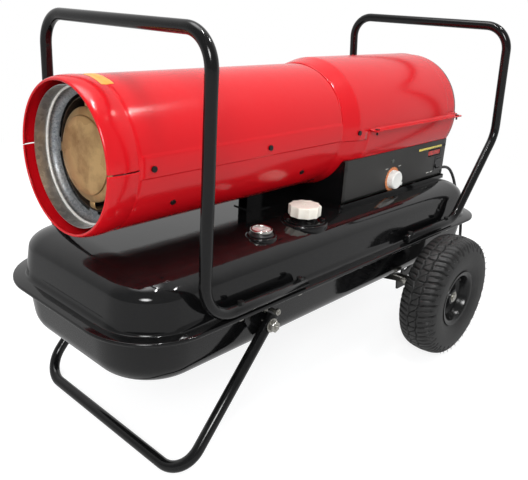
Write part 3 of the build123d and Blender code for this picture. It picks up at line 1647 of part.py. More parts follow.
with BuildPart() as cord_gland:
    rear_wall = Plane(origin=(box_rear_x, gland_y, gland_z), x_dir=(0, 1, 0),
                      z_dir=(1, 0, 0))
    add(hex_bar(rear_wall, 2 * gland_radius, 5))
    add(drill(rear_wall.offset(-4), gland_radius - 3, 5))
    with BuildSketch(rear_wall.offset(5)):
        Circle(gland_radius - 2.5)
    with BuildSketch(rear_wall.offset(boot_length)):
        Circle(cord_radius + 0.8)
    loft()
cord_gland.part.label = "cord_gland"

with BuildPart() as power_cord:
    add(bent_tube(cord_route, cord_radii, cord_radius, 0))
power_cord.part.label = "power_cord"

# The coil: half turns that spiral in, one that climbs, and half turns that spiral out
layer_rise = coil_turn_pitch + 0.1


def coil_arcs():
    """Arcs of the coil, each as its start, a point on it and its end."""
    place = Vector(*cord_route[-1])
    heading = Vector(1, 0, 0)
    inner = [coil_radius - coil_turn_pitch / 2 * turn for turn in range(coil_half_turns)]
    climb = inner[-1] - coil_turn_pitch / 2
    for radius in [*inner, climb, *reversed(inner)]:
        left = Vector(-heading.Y, heading.X, 0)
        if radius == climb:
            reach = math.hypot(radius, layer_rise / 2)
            middle = place + left * radius + heading * reach + Vector(0, 0, layer_rise / 2)
            end = place + left * (2 * radius) + Vector(0, 0, layer_rise)
            yield "tangent", place, heading, middle
            yield "tangent_end", middle, heading * -1, end
        else:
            middle = place + left * radius + heading * radius
            end = place + left * (2 * radius)
            yield "flat", place, middle, end
        place = end
        heading = heading * -1
    yield "run", place, heading, place + heading * cord_tail


with BuildPart() as cord_coil:
    with BuildLine() as coil_path:
        for kind, first, guide, last in coil_arcs():
            if kind == "flat":
                ThreePointArc(first, guide, last)
            elif kind == "tangent":
                TangentArc(first, last, tangent=guide)
            elif kind == "tangent_end":
                TangentArc(last, first, tangent=guide * -1)
            else:
                Line(first, last)
    coil_start = Plane(origin=cord_route[-1], x_dir=(0, 1, 0), z_dir=(1, 0, 0))
    with BuildSketch(coil_start):
        RegularPolygon(cord_radius, coil_sides)
    sweep(path=coil_path.line)
cord_coil.part.label = "cord_coil"
coil_length = sum(edge.length for edge in coil_path.edges())
coil_end = coil_path.line @ 1


def coil_self_gap(steps_per_edge):
    """Least distance between turns of the coil, less its diameter: sampled points that
    lie more than half a turn apart along the cord."""
    samples = []
    travelled = 0
    for edge in coil_path.line.edges():
        for step in range(steps_per_edge):
            share = step / steps_per_edge
            samples.append((travelled + share * edge.length, edge @ share))
        travelled += edge.length
    apart = math.pi * coil_radius * 0.8
    gaps = [
        (point - other).length
        for index, (distance, point) in enumerate(samples)
        for later, other in samples[index + 1:]
        if later - distance > apart
    ]
    return min(gaps) - 2 * cord_radius


print("coil length", round(coil_length, 1), "least self-gap", round(coil_self_gap(24), 2))

# ---- Coil tie and plug ------------------------------------------------------------------
tie_width = 6
tie_sheet = 0.6
tie_slant = coil_turn_pitch / 2 + tie_width / 2
inner_turn = coil_radius - coil_turn_pitch / 2 * (coil_half_turns - 1)
bundle_inner = math.sqrt(inner_turn**2 - tie_slant**2) - cord_radius
bundle_outer = coil_radius - coil_turn_pitch / 2 + cord_radius
coil_centre = (cord_route[-1][0], cord_route[-1][1] + coil_radius)
bundle_low = coil_z - cord_radius
bundle_high = coil_z + layer_rise + cord_radius

with BuildPart() as cord_tie:
    bundle = Plane(
        origin=(
            coil_centre[0] - (bundle_inner + bundle_outer) / 2, coil_centre[1],
            (bundle_low + bundle_high) / 2,
        ),
        x_dir=(1, 0, 0), z_dir=(0, -1, 0),
    )
    inside = (bundle_outer - bundle_inner + 2 * fit_gap, bundle_high - bundle_low + 0.4)
    with BuildSketch(bundle):
        RectangleRounded(inside[0] + 2 * tie_sheet, inside[1] + 2 * tie_sheet, 2.6)
        RectangleRounded(*inside, 2, mode=Mode.SUBTRACT)
    extrude(amount=tie_width / 2, both=True)
cord_tie.part.label = "cord_tie"

with BuildPart() as plug:
    face = Plane(origin=coil_end, x_dir=(0, 1, 0), z_dir=(-1, 0, 0))
    with BuildSketch(face):
        Circle(cord_radius + 1)
    with BuildSketch(face.offset(plug_taper)):
        Circle(plug_neck)
    loft()
    with BuildSketch(face.offset(plug_taper)):
        RectangleRounded(plug_width, 2 * (coil_end.Z - fit_gap), 4)
    extrude(amount=plug_length - plug_taper)
    for pin_y in (-9.5, 9.5):
        with BuildSketch(face.offset(plug_length)):
            with Locations((pin_y, 0)):
                Circle(pin_radius)
        extrude(amount=pin_length)
plug.part.label = "plug"

cord_section = math.pi * cord_radius**2
coil_section = coil_sides / 2 * cord_radius**2 * math.sin(2 * math.pi / coil_sides)
cord_path_length = power_cord.part.volume / cord_section
print("cord volume over section", round(cord_path_length, 1))
print("coil volume over section", round(cord_coil.part.volume / coil_section, 1))

# ---- One file for each piece ------------------------------------------------------------
pieces = [
    tank_lower_shell, tank_upper_shell, drain_plug, filler_neck, filler_strainer, cap_seal,
    fuel_cap, gauge_body, gauge_dial, gauge_needle, gauge_lens, float_arm, front_handle,
    rear_handle, front_leg, leg_brackets, frame_bolts, axle, axle_brackets, axle_nuts,
    *wheels, lower_shell, upper_shell, rear_hood, casing_screws, outlet_liner, outlet_dish,
    combustion_chamber, chamber_supports, flame_deflector, burner_head, burner_nozzle, fan,
    motor, motor_bracket, pump, fan_guard, base_tray, base_housing, control_panel,
    side_cover, thermostat_dial, thermostat_body, thermostat_knob, indicator_lamp,
    display_window, switch_frame, rocker_switch, barrel_saddle, control_board, fuel_pipe,
    cord_gland, power_cord, cord_coil, cord_tie, plug,
]
os.makedirs("parts", exist_ok=True)
for piece in pieces:
    export_step(piece.part, f"parts/{piece.part.label}.step")
print(len(pieces), "pieces")
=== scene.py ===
import math

import bmesh
import bpy
import numpy as np
from mathutils import Matrix, Vector


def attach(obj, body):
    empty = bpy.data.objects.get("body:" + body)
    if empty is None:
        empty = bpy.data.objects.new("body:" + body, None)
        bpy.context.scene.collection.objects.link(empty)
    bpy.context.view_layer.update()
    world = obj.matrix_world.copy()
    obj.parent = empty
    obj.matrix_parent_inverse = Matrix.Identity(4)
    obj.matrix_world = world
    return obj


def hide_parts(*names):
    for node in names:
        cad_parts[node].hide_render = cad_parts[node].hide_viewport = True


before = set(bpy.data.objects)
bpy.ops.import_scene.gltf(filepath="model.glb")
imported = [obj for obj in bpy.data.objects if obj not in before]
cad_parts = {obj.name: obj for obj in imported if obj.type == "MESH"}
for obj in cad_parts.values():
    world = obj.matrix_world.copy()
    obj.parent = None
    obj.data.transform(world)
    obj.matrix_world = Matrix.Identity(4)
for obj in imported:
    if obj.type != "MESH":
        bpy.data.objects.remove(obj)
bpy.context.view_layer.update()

# ---- Room: camera, floor, backdrop and lamps --------------------------------------------
# The camera stands where the photographer stood, as found from the heater's edges, circles
# and tubes. The floor and the space behind are plain and white, with soft light from above.
PHOTO_WIDTH, PHOTO_HEIGHT = 528, 480
FOCAL_PIXELS = 642.2
PRINCIPAL_POINT = (249.1, 228.5)
SENSOR_MM = 36
CAMERA_PLACE = (-0.9486, -0.8057, 0.7084)
CAMERA_AZIMUTH, CAMERA_ELEVATION, CAMERA_ROLL = (
    math.radians(angle) for angle in (-46.945, 19.718, 3.087)
)
BACKDROP_SIDE, LAMP_MIDDLE = (0.73, 0.68, 0.0), 3.2
FLOOR_HALF = 9.0


def add_node(tree, kind, sockets=(), **settings):
    """A node with these settings; each socket gets a link or a plain value."""
    made = tree.nodes.new(kind)
    for name, value in settings.items():
        setattr(made, name, value)
    for name, value in dict(sockets).items():
        if isinstance(value, bpy.types.NodeSocket):
            tree.links.new(value, made.inputs[name])
        else:
            made.inputs[name].default_value = value
    return made


def srgb(red, green, blue):
    """Linear colour with alpha from the 0 to 255 steps of a display."""
    steps = np.array([red, green, blue]) / 255
    linear = np.where(steps <= 0.04045, steps / 12.92, ((steps + 0.055) / 1.055) ** 2.4)
    return (*linear.tolist(), 1.0)


def seen_rays(tree):
    """1 for a ray from the camera, a mirror or glass, else 0."""
    path = add_node(tree, "ShaderNodeLightPath")
    glossy = add_node(tree, "ShaderNodeMath", {
        0: path.outputs["Is Camera Ray"], 1: path.outputs["Is Glossy Ray"],
    }, operation="MAXIMUM")
    return add_node(tree, "ShaderNodeMath", {
        0: glossy.outputs[0], 1: path.outputs["Is Transmission Ray"],
    }, operation="MAXIMUM").outputs[0]


back = Vector((
    math.sin(CAMERA_AZIMUTH) * math.cos(CAMERA_ELEVATION),
    -math.cos(CAMERA_AZIMUTH) * math.cos(CAMERA_ELEVATION),
    math.sin(CAMERA_ELEVATION),
))
level_right = (-back).cross(Vector((0, 0, 1))).normalized()
level_up = level_right.cross(-back)
rolled_right = math.cos(CAMERA_ROLL) * level_right + math.sin(CAMERA_ROLL) * level_up
rolled_up = -math.sin(CAMERA_ROLL) * level_right + math.cos(CAMERA_ROLL) * level_up
camera_data = bpy.data.cameras.new("camera")
camera_data.sensor_fit = "HORIZONTAL"
camera_data.sensor_width = SENSOR_MM
camera_data.lens = FOCAL_PIXELS / PHOTO_WIDTH * SENSOR_MM
camera_data.shift_x = (PHOTO_WIDTH / 2 - PRINCIPAL_POINT[0]) / PHOTO_WIDTH
camera_data.shift_y = (PRINCIPAL_POINT[1] - PHOTO_HEIGHT / 2) / PHOTO_WIDTH
camera = bpy.data.objects.new("camera", camera_data)
turned = Matrix((rolled_right, rolled_up, back)).transposed().to_4x4()
camera.matrix_world = Matrix.Translation(CAMERA_PLACE) @ turned
bpy.context.collection.objects.link(camera)
bpy.context.scene.camera = camera
bpy.context.scene.view_settings.view_transform = "Standard"

world = bpy.data.worlds.new("white_room")
world.use_nodes = True
world_tree = world.node_tree
world_tree.nodes.clear()
ambient = add_node(world_tree, "ShaderNodeBackground", {
    "Color": (0.93, 0.96, 1.0, 1.0), "Strength": 0.7,
})
toward_backdrop = add_node(world_tree, "ShaderNodeVectorMath", {
    0: add_node(world_tree, "ShaderNodeTexCoord").outputs["Generated"], 1: BACKDROP_SIDE,
}, operation="DOT_PRODUCT")
mirrored = add_node(world_tree, "ShaderNodeMapRange", {
    "Value": toward_backdrop.outputs["Value"], "From Min": -0.3, "From Max": 0.5,
    "To Min": 0.3, "To Max": 0.8,
}, interpolation_type="SMOOTHSTEP")
shown_level = add_node(world_tree, "ShaderNodeMath", {
    0: mirrored.outputs[0],
    1: add_node(world_tree, "ShaderNodeLightPath").outputs["Is Camera Ray"],
}, operation="MAXIMUM")
shown = add_node(world_tree, "ShaderNodeBackground", {
    "Color": (1.0, 1.0, 1.0, 1.0), "Strength": shown_level.outputs[0],
})
world_mix = add_node(world_tree, "ShaderNodeMixShader", {
    0: seen_rays(world_tree), 1: ambient.outputs[0], 2: shown.outputs[0],
})
add_node(world_tree, "ShaderNodeOutputWorld", {"Surface": world_mix.outputs[0]})
bpy.context.scene.world = world

floor_material = bpy.data.materials.new("white_floor")
floor_material.use_nodes = True
floor_tree = floor_material.node_tree
floor_tree.nodes.clear()
floor_paint = add_node(floor_tree, "ShaderNodeBsdfDiffuse", {"Color": (0.75, 0.75, 0.75, 1)})
floor_shade = add_node(floor_tree, "ShaderNodeBsdfDiffuse", {"Color": (0.3, 0.3, 0.3, 1)})
floor_glow = add_node(floor_tree, "ShaderNodeEmission", {"Color": (1, 1, 1, 1), "Strength": 0.84})
floor_near = add_node(floor_tree, "ShaderNodeAddShader", {
    0: floor_shade.outputs[0], 1: floor_glow.outputs[0],
})
floor_far = add_node(floor_tree, "ShaderNodeEmission", {"Color": (1, 1, 1, 1), "Strength": 1.0})
floor_place = add_node(floor_tree, "ShaderNodeTexCoord")
floor_reach = add_node(floor_tree, "ShaderNodeVectorMath", {
    0: floor_place.outputs["Object"],
}, operation="LENGTH")
floor_fade = add_node(floor_tree, "ShaderNodeMapRange", {
    "Value": floor_reach.outputs["Value"], "From Min": 0.7, "From Max": 2.2,
}, interpolation_type="SMOOTHSTEP")
floor_seen = add_node(floor_tree, "ShaderNodeMixShader", {
    0: floor_fade.outputs[0], 1: floor_near.outputs[0], 2: floor_far.outputs[0],
})
floor_mix = add_node(floor_tree, "ShaderNodeMixShader", {
    0: seen_rays(floor_tree), 1: floor_paint.outputs[0], 2: floor_seen.outputs[0],
})
floor_mirrored = add_node(floor_tree, "ShaderNodeEmission", {
    "Color": (1, 1, 1, 1), "Strength": 0.62,
})
floor_whole = add_node(floor_tree, "ShaderNodeMixShader", {
    0: add_node(floor_tree, "ShaderNodeLightPath").outputs["Is Glossy Ray"],
    1: floor_mix.outputs[0], 2: floor_mirrored.outputs[0],
})
add_node(floor_tree, "ShaderNodeOutputMaterial", {"Surface": floor_whole.outputs[0]})
floor_mesh = bpy.data.meshes.new("floor")
floor_mesh.from_pydata(
    [(x * FLOOR_HALF, y * FLOOR_HALF, 0) for x, y in ((-1, -1), (1, -1), (1, 1), (-1, 1))],
    [], [(0, 1, 2, 3)],
)
floor_mesh.materials.append(floor_material)
floor = bpy.data.objects.new("floor", floor_mesh)
bpy.context.collection.objects.link(floor)


def lamp(name, place, aim, length, width, watts):
    """Soft box that faces the point aim, with its length level. Its light fades smoothly from
    the middle to the edge, so that gloss shows no hard square."""
    data = bpy.data.lights.new(name, "AREA")
    data.shape = "RECTANGLE"
    data.size, data.size_y = length, width
    data.energy = watts
    data.use_nodes = True
    tree = data.node_tree
    from_middle = add_node(tree, "ShaderNodeVectorMath", {
        0: add_node(tree, "ShaderNodeNewGeometry").outputs["Parametric"], 1: (0.5, 0.5, 0.0),
    }, operation="DISTANCE")
    fade = add_node(tree, "ShaderNodeMapRange", {
        "Value": from_middle.outputs["Value"], "From Min": 0.1, "From Max": 0.5,
        "To Min": LAMP_MIDDLE, "To Max": 0.0,
    }, interpolation_type="SMOOTHSTEP")
    tree.links.new(fade.outputs[0], tree.nodes["Emission"].inputs["Strength"])
    made = bpy.data.objects.new(name, data)
    made.location = place
    made.rotation_euler = (Vector(aim) - Vector(place)).to_track_quat("-Z", "Y").to_euler()
    bpy.context.collection.objects.link(made)


lamp("overhead_lamp", (-0.3, 0.5, 2.9), (0, 0, 0.3), 2.2, 2.2, 27)
lamp("front_lamp", (-2.2, -1.7, 1.9), (-0.1, 0, 0.35), 1.4, 1.4, 45)
lamp("left_tube", (-0.25, -0.27, 2.05), (-0.45, -0.1, 0.5), 0.6, 0.07, 7)
lamp("right_tube", (0.55, -0.72, 2.05), (-0.3, 0, 0.5), 0.6, 0.07, 7)

# ---- Fuel tank --------------------------------------------------------------------------
# Two deep-drawn steel pans welded at a flange all round and painted gloss black. The upper
# pan's flange is turned down over the lower one's edge.
TANK_HALF_LENGTH, TANK_HALF_WIDTH = 514.5, 210
FLANGE_Z, TANK_TOP_Z, TANK_BOTTOM_Z = 254, 330, 158
TANK_SHEET, FLANGE_FRONT_CORNER, FLANGE_REAR_CORNER = 1.2, 118, 87
MM = 0.001


def grid_faces(rows, columns, wrap_rows=False, wrap_columns=False):
    """Quads between neighbouring points of a grid; a wrapped direction closes on itself."""
    row = np.arange(rows if wrap_rows else rows - 1)[:, None]
    column = np.arange(columns if wrap_columns else columns - 1)[None, :]
    next_row, next_column = (row + 1) % rows, (column + 1) % columns
    corners = (
        row * columns + column, next_row * columns + column,
        next_row * columns + next_column, row * columns + next_column,
    )
    return np.stack(np.broadcast_arrays(*corners), -1).reshape(-1, 4)


def surface(name, *grids, wrap_rows=False, wrap_columns=False, flip=False, keep=None):
    """Mesh object from grids of points in millimetres, one array (rows, columns, 3) each.
    A face's normal is the step along rows crossed with the step along columns. keep, where
    given, is a function of the face centres that says which faces stay."""
    points, faces, start = [], [], 0
    for grid in grids:
        rows, columns = grid.shape[:2]
        quads = grid_faces(rows, columns, wrap_rows, wrap_columns)
        flat = grid.reshape(-1, 3)
        if keep is not None:
            quads = quads[keep(flat[quads].mean(axis=1))]
        points.append(flat)
        faces.append(quads + start)
        start += len(flat)
    faces = np.concatenate(faces)
    if flip:
        faces = faces[:, ::-1]
    mesh = bpy.data.meshes.new(name)
    mesh.from_pydata((np.concatenate(points) * MM).tolist(), [], faces.tolist())
    shaped = bmesh.new()
    shaped.from_mesh(mesh)
    bmesh.ops.remove_doubles(shaped, verts=shaped.verts, dist=2e-6)
    loose = [vert for vert in shaped.verts if not vert.link_faces]
    bmesh.ops.delete(shaped, geom=loose, context="VERTS")
    for face in shaped.faces:
        face.smooth = True
    shaped.to_mesh(mesh)
    shaped.free()
    made = bpy.data.objects.new(name, mesh)
    bpy.context.collection.objects.link(made)
    return made


def sharpen(piece, degrees=35):
    """Marks the piece's edges sharp where its faces meet at more than this angle."""
    piece.data.set_sharp_from_angle(angle=math.radians(degrees))


def thicken(piece, thickness):
    """Gives a sheet its thickness inward, in millimetres."""
    wall = piece.modifiers.new("sheet", "SOLIDIFY")
    wall.thickness = thickness * MM
    wall.offset = -1


def fit(piece, material, slot, body, *nodes):
    """Gives the piece its material, sets it on its body, and lets it stand for these CAD nodes;
    the slot is not used."""
    piece.data.materials.append(material)
    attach(piece, body)
    if nodes:
        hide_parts(*nodes)
    return piece


def effect_group(name, inputs, outputs):
    """Empty shader node group with these named inputs and outputs."""
    tree = bpy.data.node_groups.new(name, "ShaderNodeTree")
    for label, kind, value in inputs:
        socket = tree.interface.new_socket(label, in_out="INPUT", socket_type=kind)
        socket.default_value = value
    for label, kind in outputs:
        tree.interface.new_socket(label, in_out="OUTPUT", socket_type=kind)
    return tree, tree.nodes.new("NodeGroupInput"), tree.nodes.new("NodeGroupOutput")


FINISH_OUTPUTS = [
    ("Color", "NodeSocketColor"), ("Roughness", "NodeSocketFloat"),
    ("Normal", "NodeSocketVector"),
]


def spray_paint_group():
    """Sprayed paint: a fine orange-peel ripple, slight unevenness of tone, and dust that
    settles on what faces up, which is paler and rougher."""
    tree, entry, leave = effect_group("spray_paint", [
        ("Color", "NodeSocketColor", (0.5, 0.5, 0.5, 1)),
        ("Roughness", "NodeSocketFloat", 0.3),
        ("Peel scale", "NodeSocketFloat", 350.0),
        ("Peel depth", "NodeSocketFloat", 0.05),
        ("Dust", "NodeSocketFloat", 0.1),
    ], FINISH_OUTPUTS)
    place = add_node(tree, "ShaderNodeTexCoord").outputs["Object"]
    peel = add_node(tree, "ShaderNodeTexNoise", {
        "Vector": place, "Scale": entry.outputs["Peel scale"], "Detail": 1.0,
    })
    wave = add_node(tree, "ShaderNodeTexNoise", {"Vector": place, "Scale": 9.0, "Detail": 1.0})
    height = add_node(tree, "ShaderNodeMath", {
        0: wave.outputs[0], 1: 14.0, 2: peel.outputs[0],
    }, operation="MULTIPLY_ADD")
    bump = add_node(tree, "ShaderNodeBump", {
        "Height": height.outputs[0], "Strength": entry.outputs["Peel depth"],
        "Distance": 0.0006,
    })
    speck = add_node(tree, "ShaderNodeTexNoise", {
        "Vector": place, "Scale": 55.0, "Detail": 9.0, "Roughness": 0.72,
    })
    patch = add_node(tree, "ShaderNodeMapRange", {
        "Value": speck.outputs[0], "From Min": 0.42, "From Max": 0.78,
    })
    facing = add_node(tree, "ShaderNodeSeparateXYZ", {
        0: add_node(tree, "ShaderNodeNewGeometry").outputs["Normal"],
    })
    upward = add_node(tree, "ShaderNodeMapRange", {
        "Value": facing.outputs["Z"], "From Min": 0.1, "From Max": 1.0,
    })
    settled = add_node(tree, "ShaderNodeMath", {
        0: patch.outputs[0], 1: upward.outputs[0],
    }, operation="MULTIPLY")
    dust = add_node(tree, "ShaderNodeMath", {
        0: settled.outputs[0], 1: entry.outputs["Dust"],
    }, operation="MULTIPLY")
    tone = add_node(tree, "ShaderNodeMix", {
        0: dust.outputs[0], 6: entry.outputs["Color"], 7: (0.42, 0.4, 0.37, 1),
    }, data_type="RGBA")
    rough = add_node(tree, "ShaderNodeMath", {
        0: dust.outputs[0], 1: 1.5, 2: entry.outputs["Roughness"],
    }, operation="MULTIPLY_ADD", use_clamp=True)
    tree.links.new(tone.outputs[2], leave.inputs["Color"])
    tree.links.new(rough.outputs[0], leave.inputs["Roughness"])
    tree.links.new(bump.outputs[0], leave.inputs["Normal"])
    return tree


def finish(name, group, values, **principled):
    """Material whose colour, roughness and normal come from an effect group with these
    values; the rest are plain values on the shader's own sockets."""
    material = bpy.data.materials.new(name)
    material.use_nodes = True
    tree = material.node_tree
    shader = tree.nodes["Principled BSDF"]
    effect = add_node(tree, "ShaderNodeGroup", values, node_tree=group)
    tree.links.new(effect.outputs["Color"], shader.inputs["Base Color"])
    tree.links.new(effect.outputs["Roughness"], shader.inputs["Roughness"])
    tree.links.new(effect.outputs["Normal"], shader.inputs["Normal"])
    for label, value in principled.items():
        shader.inputs[label.replace("_", " ").title().replace("Ior", "IOR")].default_value = value
    return material


def outline_rows(end, side, front_corner, rear_corner, arc_points=22, run_points=26):
    """Rounded rectangles seen from above, counter-clockwise, one for each row of values.
    Each corner is a quarter circle about the point that lies one corner radius in from
    both sides; straight runs join them."""
    end, side, front_corner, rear_corner = np.broadcast_arrays(
        *(np.atleast_1d(np.asarray(value, float))
          for value in (end, side, front_corner, rear_corner))
    )
    quarter = np.linspace(0, np.pi / 2, arc_points)
    corners = []
    for x_sign, y_sign, start, radius in (
        (1, -1, -np.pi / 2, rear_corner), (1, 1, 0, rear_corner),
        (-1, 1, np.pi / 2, front_corner), (-1, -1, np.pi, front_corner),
    ):
        centre_x = x_sign * (TANK_HALF_LENGTH - end - radius)
        centre_y = y_sign * (TANK_HALF_WIDTH - side - radius)
        corners.append(np.stack([
            centre_x[:, None] + radius[:, None] * np.cos(start + quarter),
            centre_y[:, None] + radius[:, None] * np.sin(start + quarter),
        ], -1))
    share = np.linspace(0, 1, run_points)[None, 1:-1, None]
    ring = []
    for index, corner in enumerate(corners):
        following = corners[(index + 1) % len(corners)]
        ring += [corner, corner[:, -1:] * (1 - share) + following[:, :1] * share]
    return np.concatenate(ring, axis=1)


def pan_rows(base_z, far_z, draft, edge, end, side, front_corner, rear_corner, lip_rows):
    """Pressed pan: lip rows, then a wall that leans in by its draft, a quarter of an ellipse
    (edge gives its reach inward and its rise) that leaves the wall and meets the flat at a
    tangent, and the flat closed at its middle. An inset wall keeps its corner centres, so
    each corner radius is smaller by the inset."""
    rise = abs(far_z - base_z)
    lean = math.radians(draft)
    edge_reach, edge_rise = edge
    first = math.atan(edge_rise / edge_reach * math.tan(lean))
    turn = np.linspace(first, np.pi / 2, 24)
    wall_rise = rise - edge_rise * (1 - math.sin(first))
    arc_inset = wall_rise * math.tan(lean) + edge_reach * (math.cos(first) - np.cos(turn))
    arc_height = wall_rise + edge_rise * (np.sin(turn) - math.sin(first))
    wall_height = np.linspace(4, arc_height[0], 6)[:-1]
    inset = np.concatenate([wall_height * math.tan(lean), arc_inset])
    height = np.concatenate([wall_height, arc_height])
    ring = outline_rows(end + inset, side + inset, front_corner - inset, rear_corner - inset)
    z = base_z + math.copysign(1, far_z - base_z) * height
    rows = np.concatenate([ring, np.broadcast_to(z[:, None, None], ring.shape[:2] + (1,))], -1)
    last = rows[-1:]
    middle = last.mean(axis=1, keepdims=True)
    inner = [middle + (last - middle) * share for share in (0.66, 0.33, 0)]
    return np.concatenate([lip_rows, rows, *inner])


def flange_rows(levels):
    """Rows that follow the flange's outline at each (inset, height) in levels."""
    inset, z = np.array(levels, float).T
    ring = outline_rows(inset, inset, FLANGE_FRONT_CORNER - inset, FLANGE_REAR_CORNER - inset)
    return np.concatenate([ring, np.broadcast_to(z[:, None, None], ring.shape[:2] + (1,))], -1)


def close_up(piece):
    """Turns all the faces of a closed piece outward."""
    shaped = bmesh.new()
    shaped.from_mesh(piece.data)
    bmesh.ops.recalc_face_normals(shaped, faces=shaped.faces)
    shaped.to_mesh(piece.data)
    shaped.free()
    return piece


def round_pad(centre_x, centre_y, top_z, radius, foot_radius):
    """Round pad pressed up from the tank's top: its height falls from the flat through an
    edge round and a short wall into the sheet below."""
    turn = np.linspace(0, 2 * np.pi, 65)[None, :-1]
    levels = np.array([
        (0, 0), (radius - 3.5, 0), (radius - 1.6, -0.35), (radius - 0.5, -1.2),
        (radius, -2.6), (radius + 0.4, -9), (foot_radius, -22),
    ])
    reach, drop = levels[:, 0, None], levels[:, 1, None]
    return np.stack(np.broadcast_arrays(
        centre_x + reach * np.cos(turn), centre_y + reach * np.sin(turn), top_z + drop
    ), -1)


spray_paint = spray_paint_group()
tank_black = finish(
    "tank_black", spray_paint,
    {"Color": (0.004, 0.004, 0.0042, 1), "Roughness": 0.07, "Peel scale": 260.0,
     "Peel depth": 0.06, "Dust": 0.012},
    ior=1.45,
)
upper_lip = flange_rows([
    (1.5, FLANGE_Z - 5), (0.3, FLANGE_Z - 5), (0, FLANGE_Z - 4.4), (0, FLANGE_Z - 2),
    (0.5, FLANGE_Z - 0.6), (1.8, FLANGE_Z), (19, FLANGE_Z), (21.2, FLANGE_Z + 0.6),
])
tank_top = surface(
    "tank_top_pan",
    pan_rows(FLANGE_Z, TANK_TOP_Z, 7.9, (66, 31), 25, 24, 84, 69, upper_lip),
    wrap_columns=True, flip=True,
)
thicken(tank_top, TANK_SHEET)
fit(tank_top, tank_black, "tank_black", "chassis", "tank_upper_shell")
for pad_name, pad_x, pad_y, pad_radius in (
    ("filler_pad", -66, -117, 44), ("gauge_pad", -186, -122, 27),
):
    pad = close_up(surface(
        pad_name, round_pad(pad_x, pad_y, TANK_TOP_Z + 2, pad_radius, pad_radius + 0.6),
        wrap_columns=True,
    ))
    fit(pad, tank_black, "tank_black", "chassis")
lower_lip = flange_rows([
    (1.9, FLANGE_Z - 3.0), (2.4, FLANGE_Z - 3.2), (19, FLANGE_Z - 3.2),
    (21, FLANGE_Z - 3.8),
])
tank_bottom = surface(
    "tank_bottom_pan",
    pan_rows(FLANGE_Z - 1.8, TANK_BOTTOM_Z, 7.5, (38, 41), 19, 23, 107, 70, lower_lip),
    wrap_columns=True,
)
thicken(tank_bottom, TANK_SHEET)
fit(tank_bottom, tank_black, "tank_black", "chassis", "tank_lower_shell")

# ---- Filler, cap and fuel gauge ---------------------------------------------------------
# A steel neck screwed to the tank holds a perforated strainer. Its moulded ivory cap has
# shallow finger flats. The round gauge beside it has a plated ring and a printed dial.
CAP_X, CAP_Y, CAP_BOTTOM_Z = -66, -117, 341.3
CAP_FLATS, CAP_FLAT_DEPTH = 10, 2.9
GAUGE_X, GAUGE_Y = -186, -122


def soft_shading_group():
    """Geometry group that joins a CAD node's loose triangles and shades them as the round
    surfaces they stand for, with an edge kept wherever faces turn by more than an angle."""
    tree = bpy.data.node_groups.new("soft_shading", "GeometryNodeTree")
    tree.interface.new_socket("Geometry", in_out="INPUT", socket_type="NodeSocketGeometry")
    tree.interface.new_socket("Geometry", in_out="OUTPUT", socket_type="NodeSocketGeometry")
    entry, leave = tree.nodes.new("NodeGroupInput"), tree.nodes.new("NodeGroupOutput")
    joined = add_node(tree, "GeometryNodeMergeByDistance", {
        "Geometry": entry.outputs[0], "Distance": 0.000004,
    })
    turn = add_node(tree, "GeometryNodeInputMeshEdgeAngle")
    edge = add_node(tree, "FunctionNodeCompare", {
        "A": turn.outputs[0], "B": math.radians(28),
    }, data_type="FLOAT", operation="GREATER_THAN")
    smooth = add_node(tree, "GeometryNodeSetShadeSmooth", {
        "Geometry": joined.outputs[0], "Shade Smooth": True,
    }, domain="FACE")
    kept = add_node(tree, "GeometryNodeSetShadeSmooth", {
        "Geometry": smooth.outputs[0], "Selection": edge.outputs[0], "Shade Smooth": False,
    }, domain="EDGE")
    tree.links.new(kept.outputs[0], leave.inputs[0])
    return tree


soft_shading = soft_shading_group()


def dress(material, *nodes):
    """Gives CAD nodes their material and soft shading; their shapes stay as they are."""
    for node in nodes:
        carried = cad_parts[node]
        carried.data.materials.clear()
        carried.data.materials.append(material)
        shading = carried.modifiers.new("soft_shading", "NODES")
        shading.node_group = soft_shading


def moulded_group():
    """Moulded plastic or rubber: a fine even grain, and a tone and roughness that vary a
    little."""
    tree, entry, leave = effect_group("moulded", [
        ("Color", "NodeSocketColor", (0.5, 0.5, 0.5, 1)),
        ("Roughness", "NodeSocketFloat", 0.4),
        ("Grain scale", "NodeSocketFloat", 1500.0),
        ("Grain depth", "NodeSocketFloat", 0.1),
        ("Mottle", "NodeSocketFloat", 0.1),
    ], FINISH_OUTPUTS)
    place = add_node(tree, "ShaderNodeTexCoord").outputs["Object"]
    grain = add_node(tree, "ShaderNodeTexNoise", {
        "Vector": place, "Scale": entry.outputs["Grain scale"], "Detail": 2.0,
    })
    bump = add_node(tree, "ShaderNodeBump", {
        "Height": grain.outputs[0], "Strength": entry.outputs["Grain depth"],
        "Distance": 0.0004,
    })
    cloud = add_node(tree, "ShaderNodeTexNoise", {
        "Vector": place, "Scale": 70.0, "Detail": 6.0, "Roughness": 0.65,
    })
    swing = add_node(tree, "ShaderNodeMapRange", {
        "Value": cloud.outputs[0], "From Min": 0.3, "From Max": 0.7,
    })
    amount = add_node(tree, "ShaderNodeMath", {
        0: swing.outputs[0], 1: entry.outputs["Mottle"],
    }, operation="MULTIPLY")
    tone = add_node(tree, "ShaderNodeMix", {
        0: amount.outputs[0], 6: entry.outputs["Color"], 7: (0.3, 0.29, 0.27, 1),
    }, data_type="RGBA")
    rough = add_node(tree, "ShaderNodeMath", {
        0: amount.outputs[0], 1: 0.6, 2: entry.outputs["Roughness"],
    }, operation="MULTIPLY_ADD", use_clamp=True)
    tree.links.new(tone.outputs[2], leave.inputs["Color"])
    tree.links.new(rough.outputs[0], leave.inputs["Roughness"])
    tree.links.new(bump.outputs[0], leave.inputs["Normal"])
    return tree


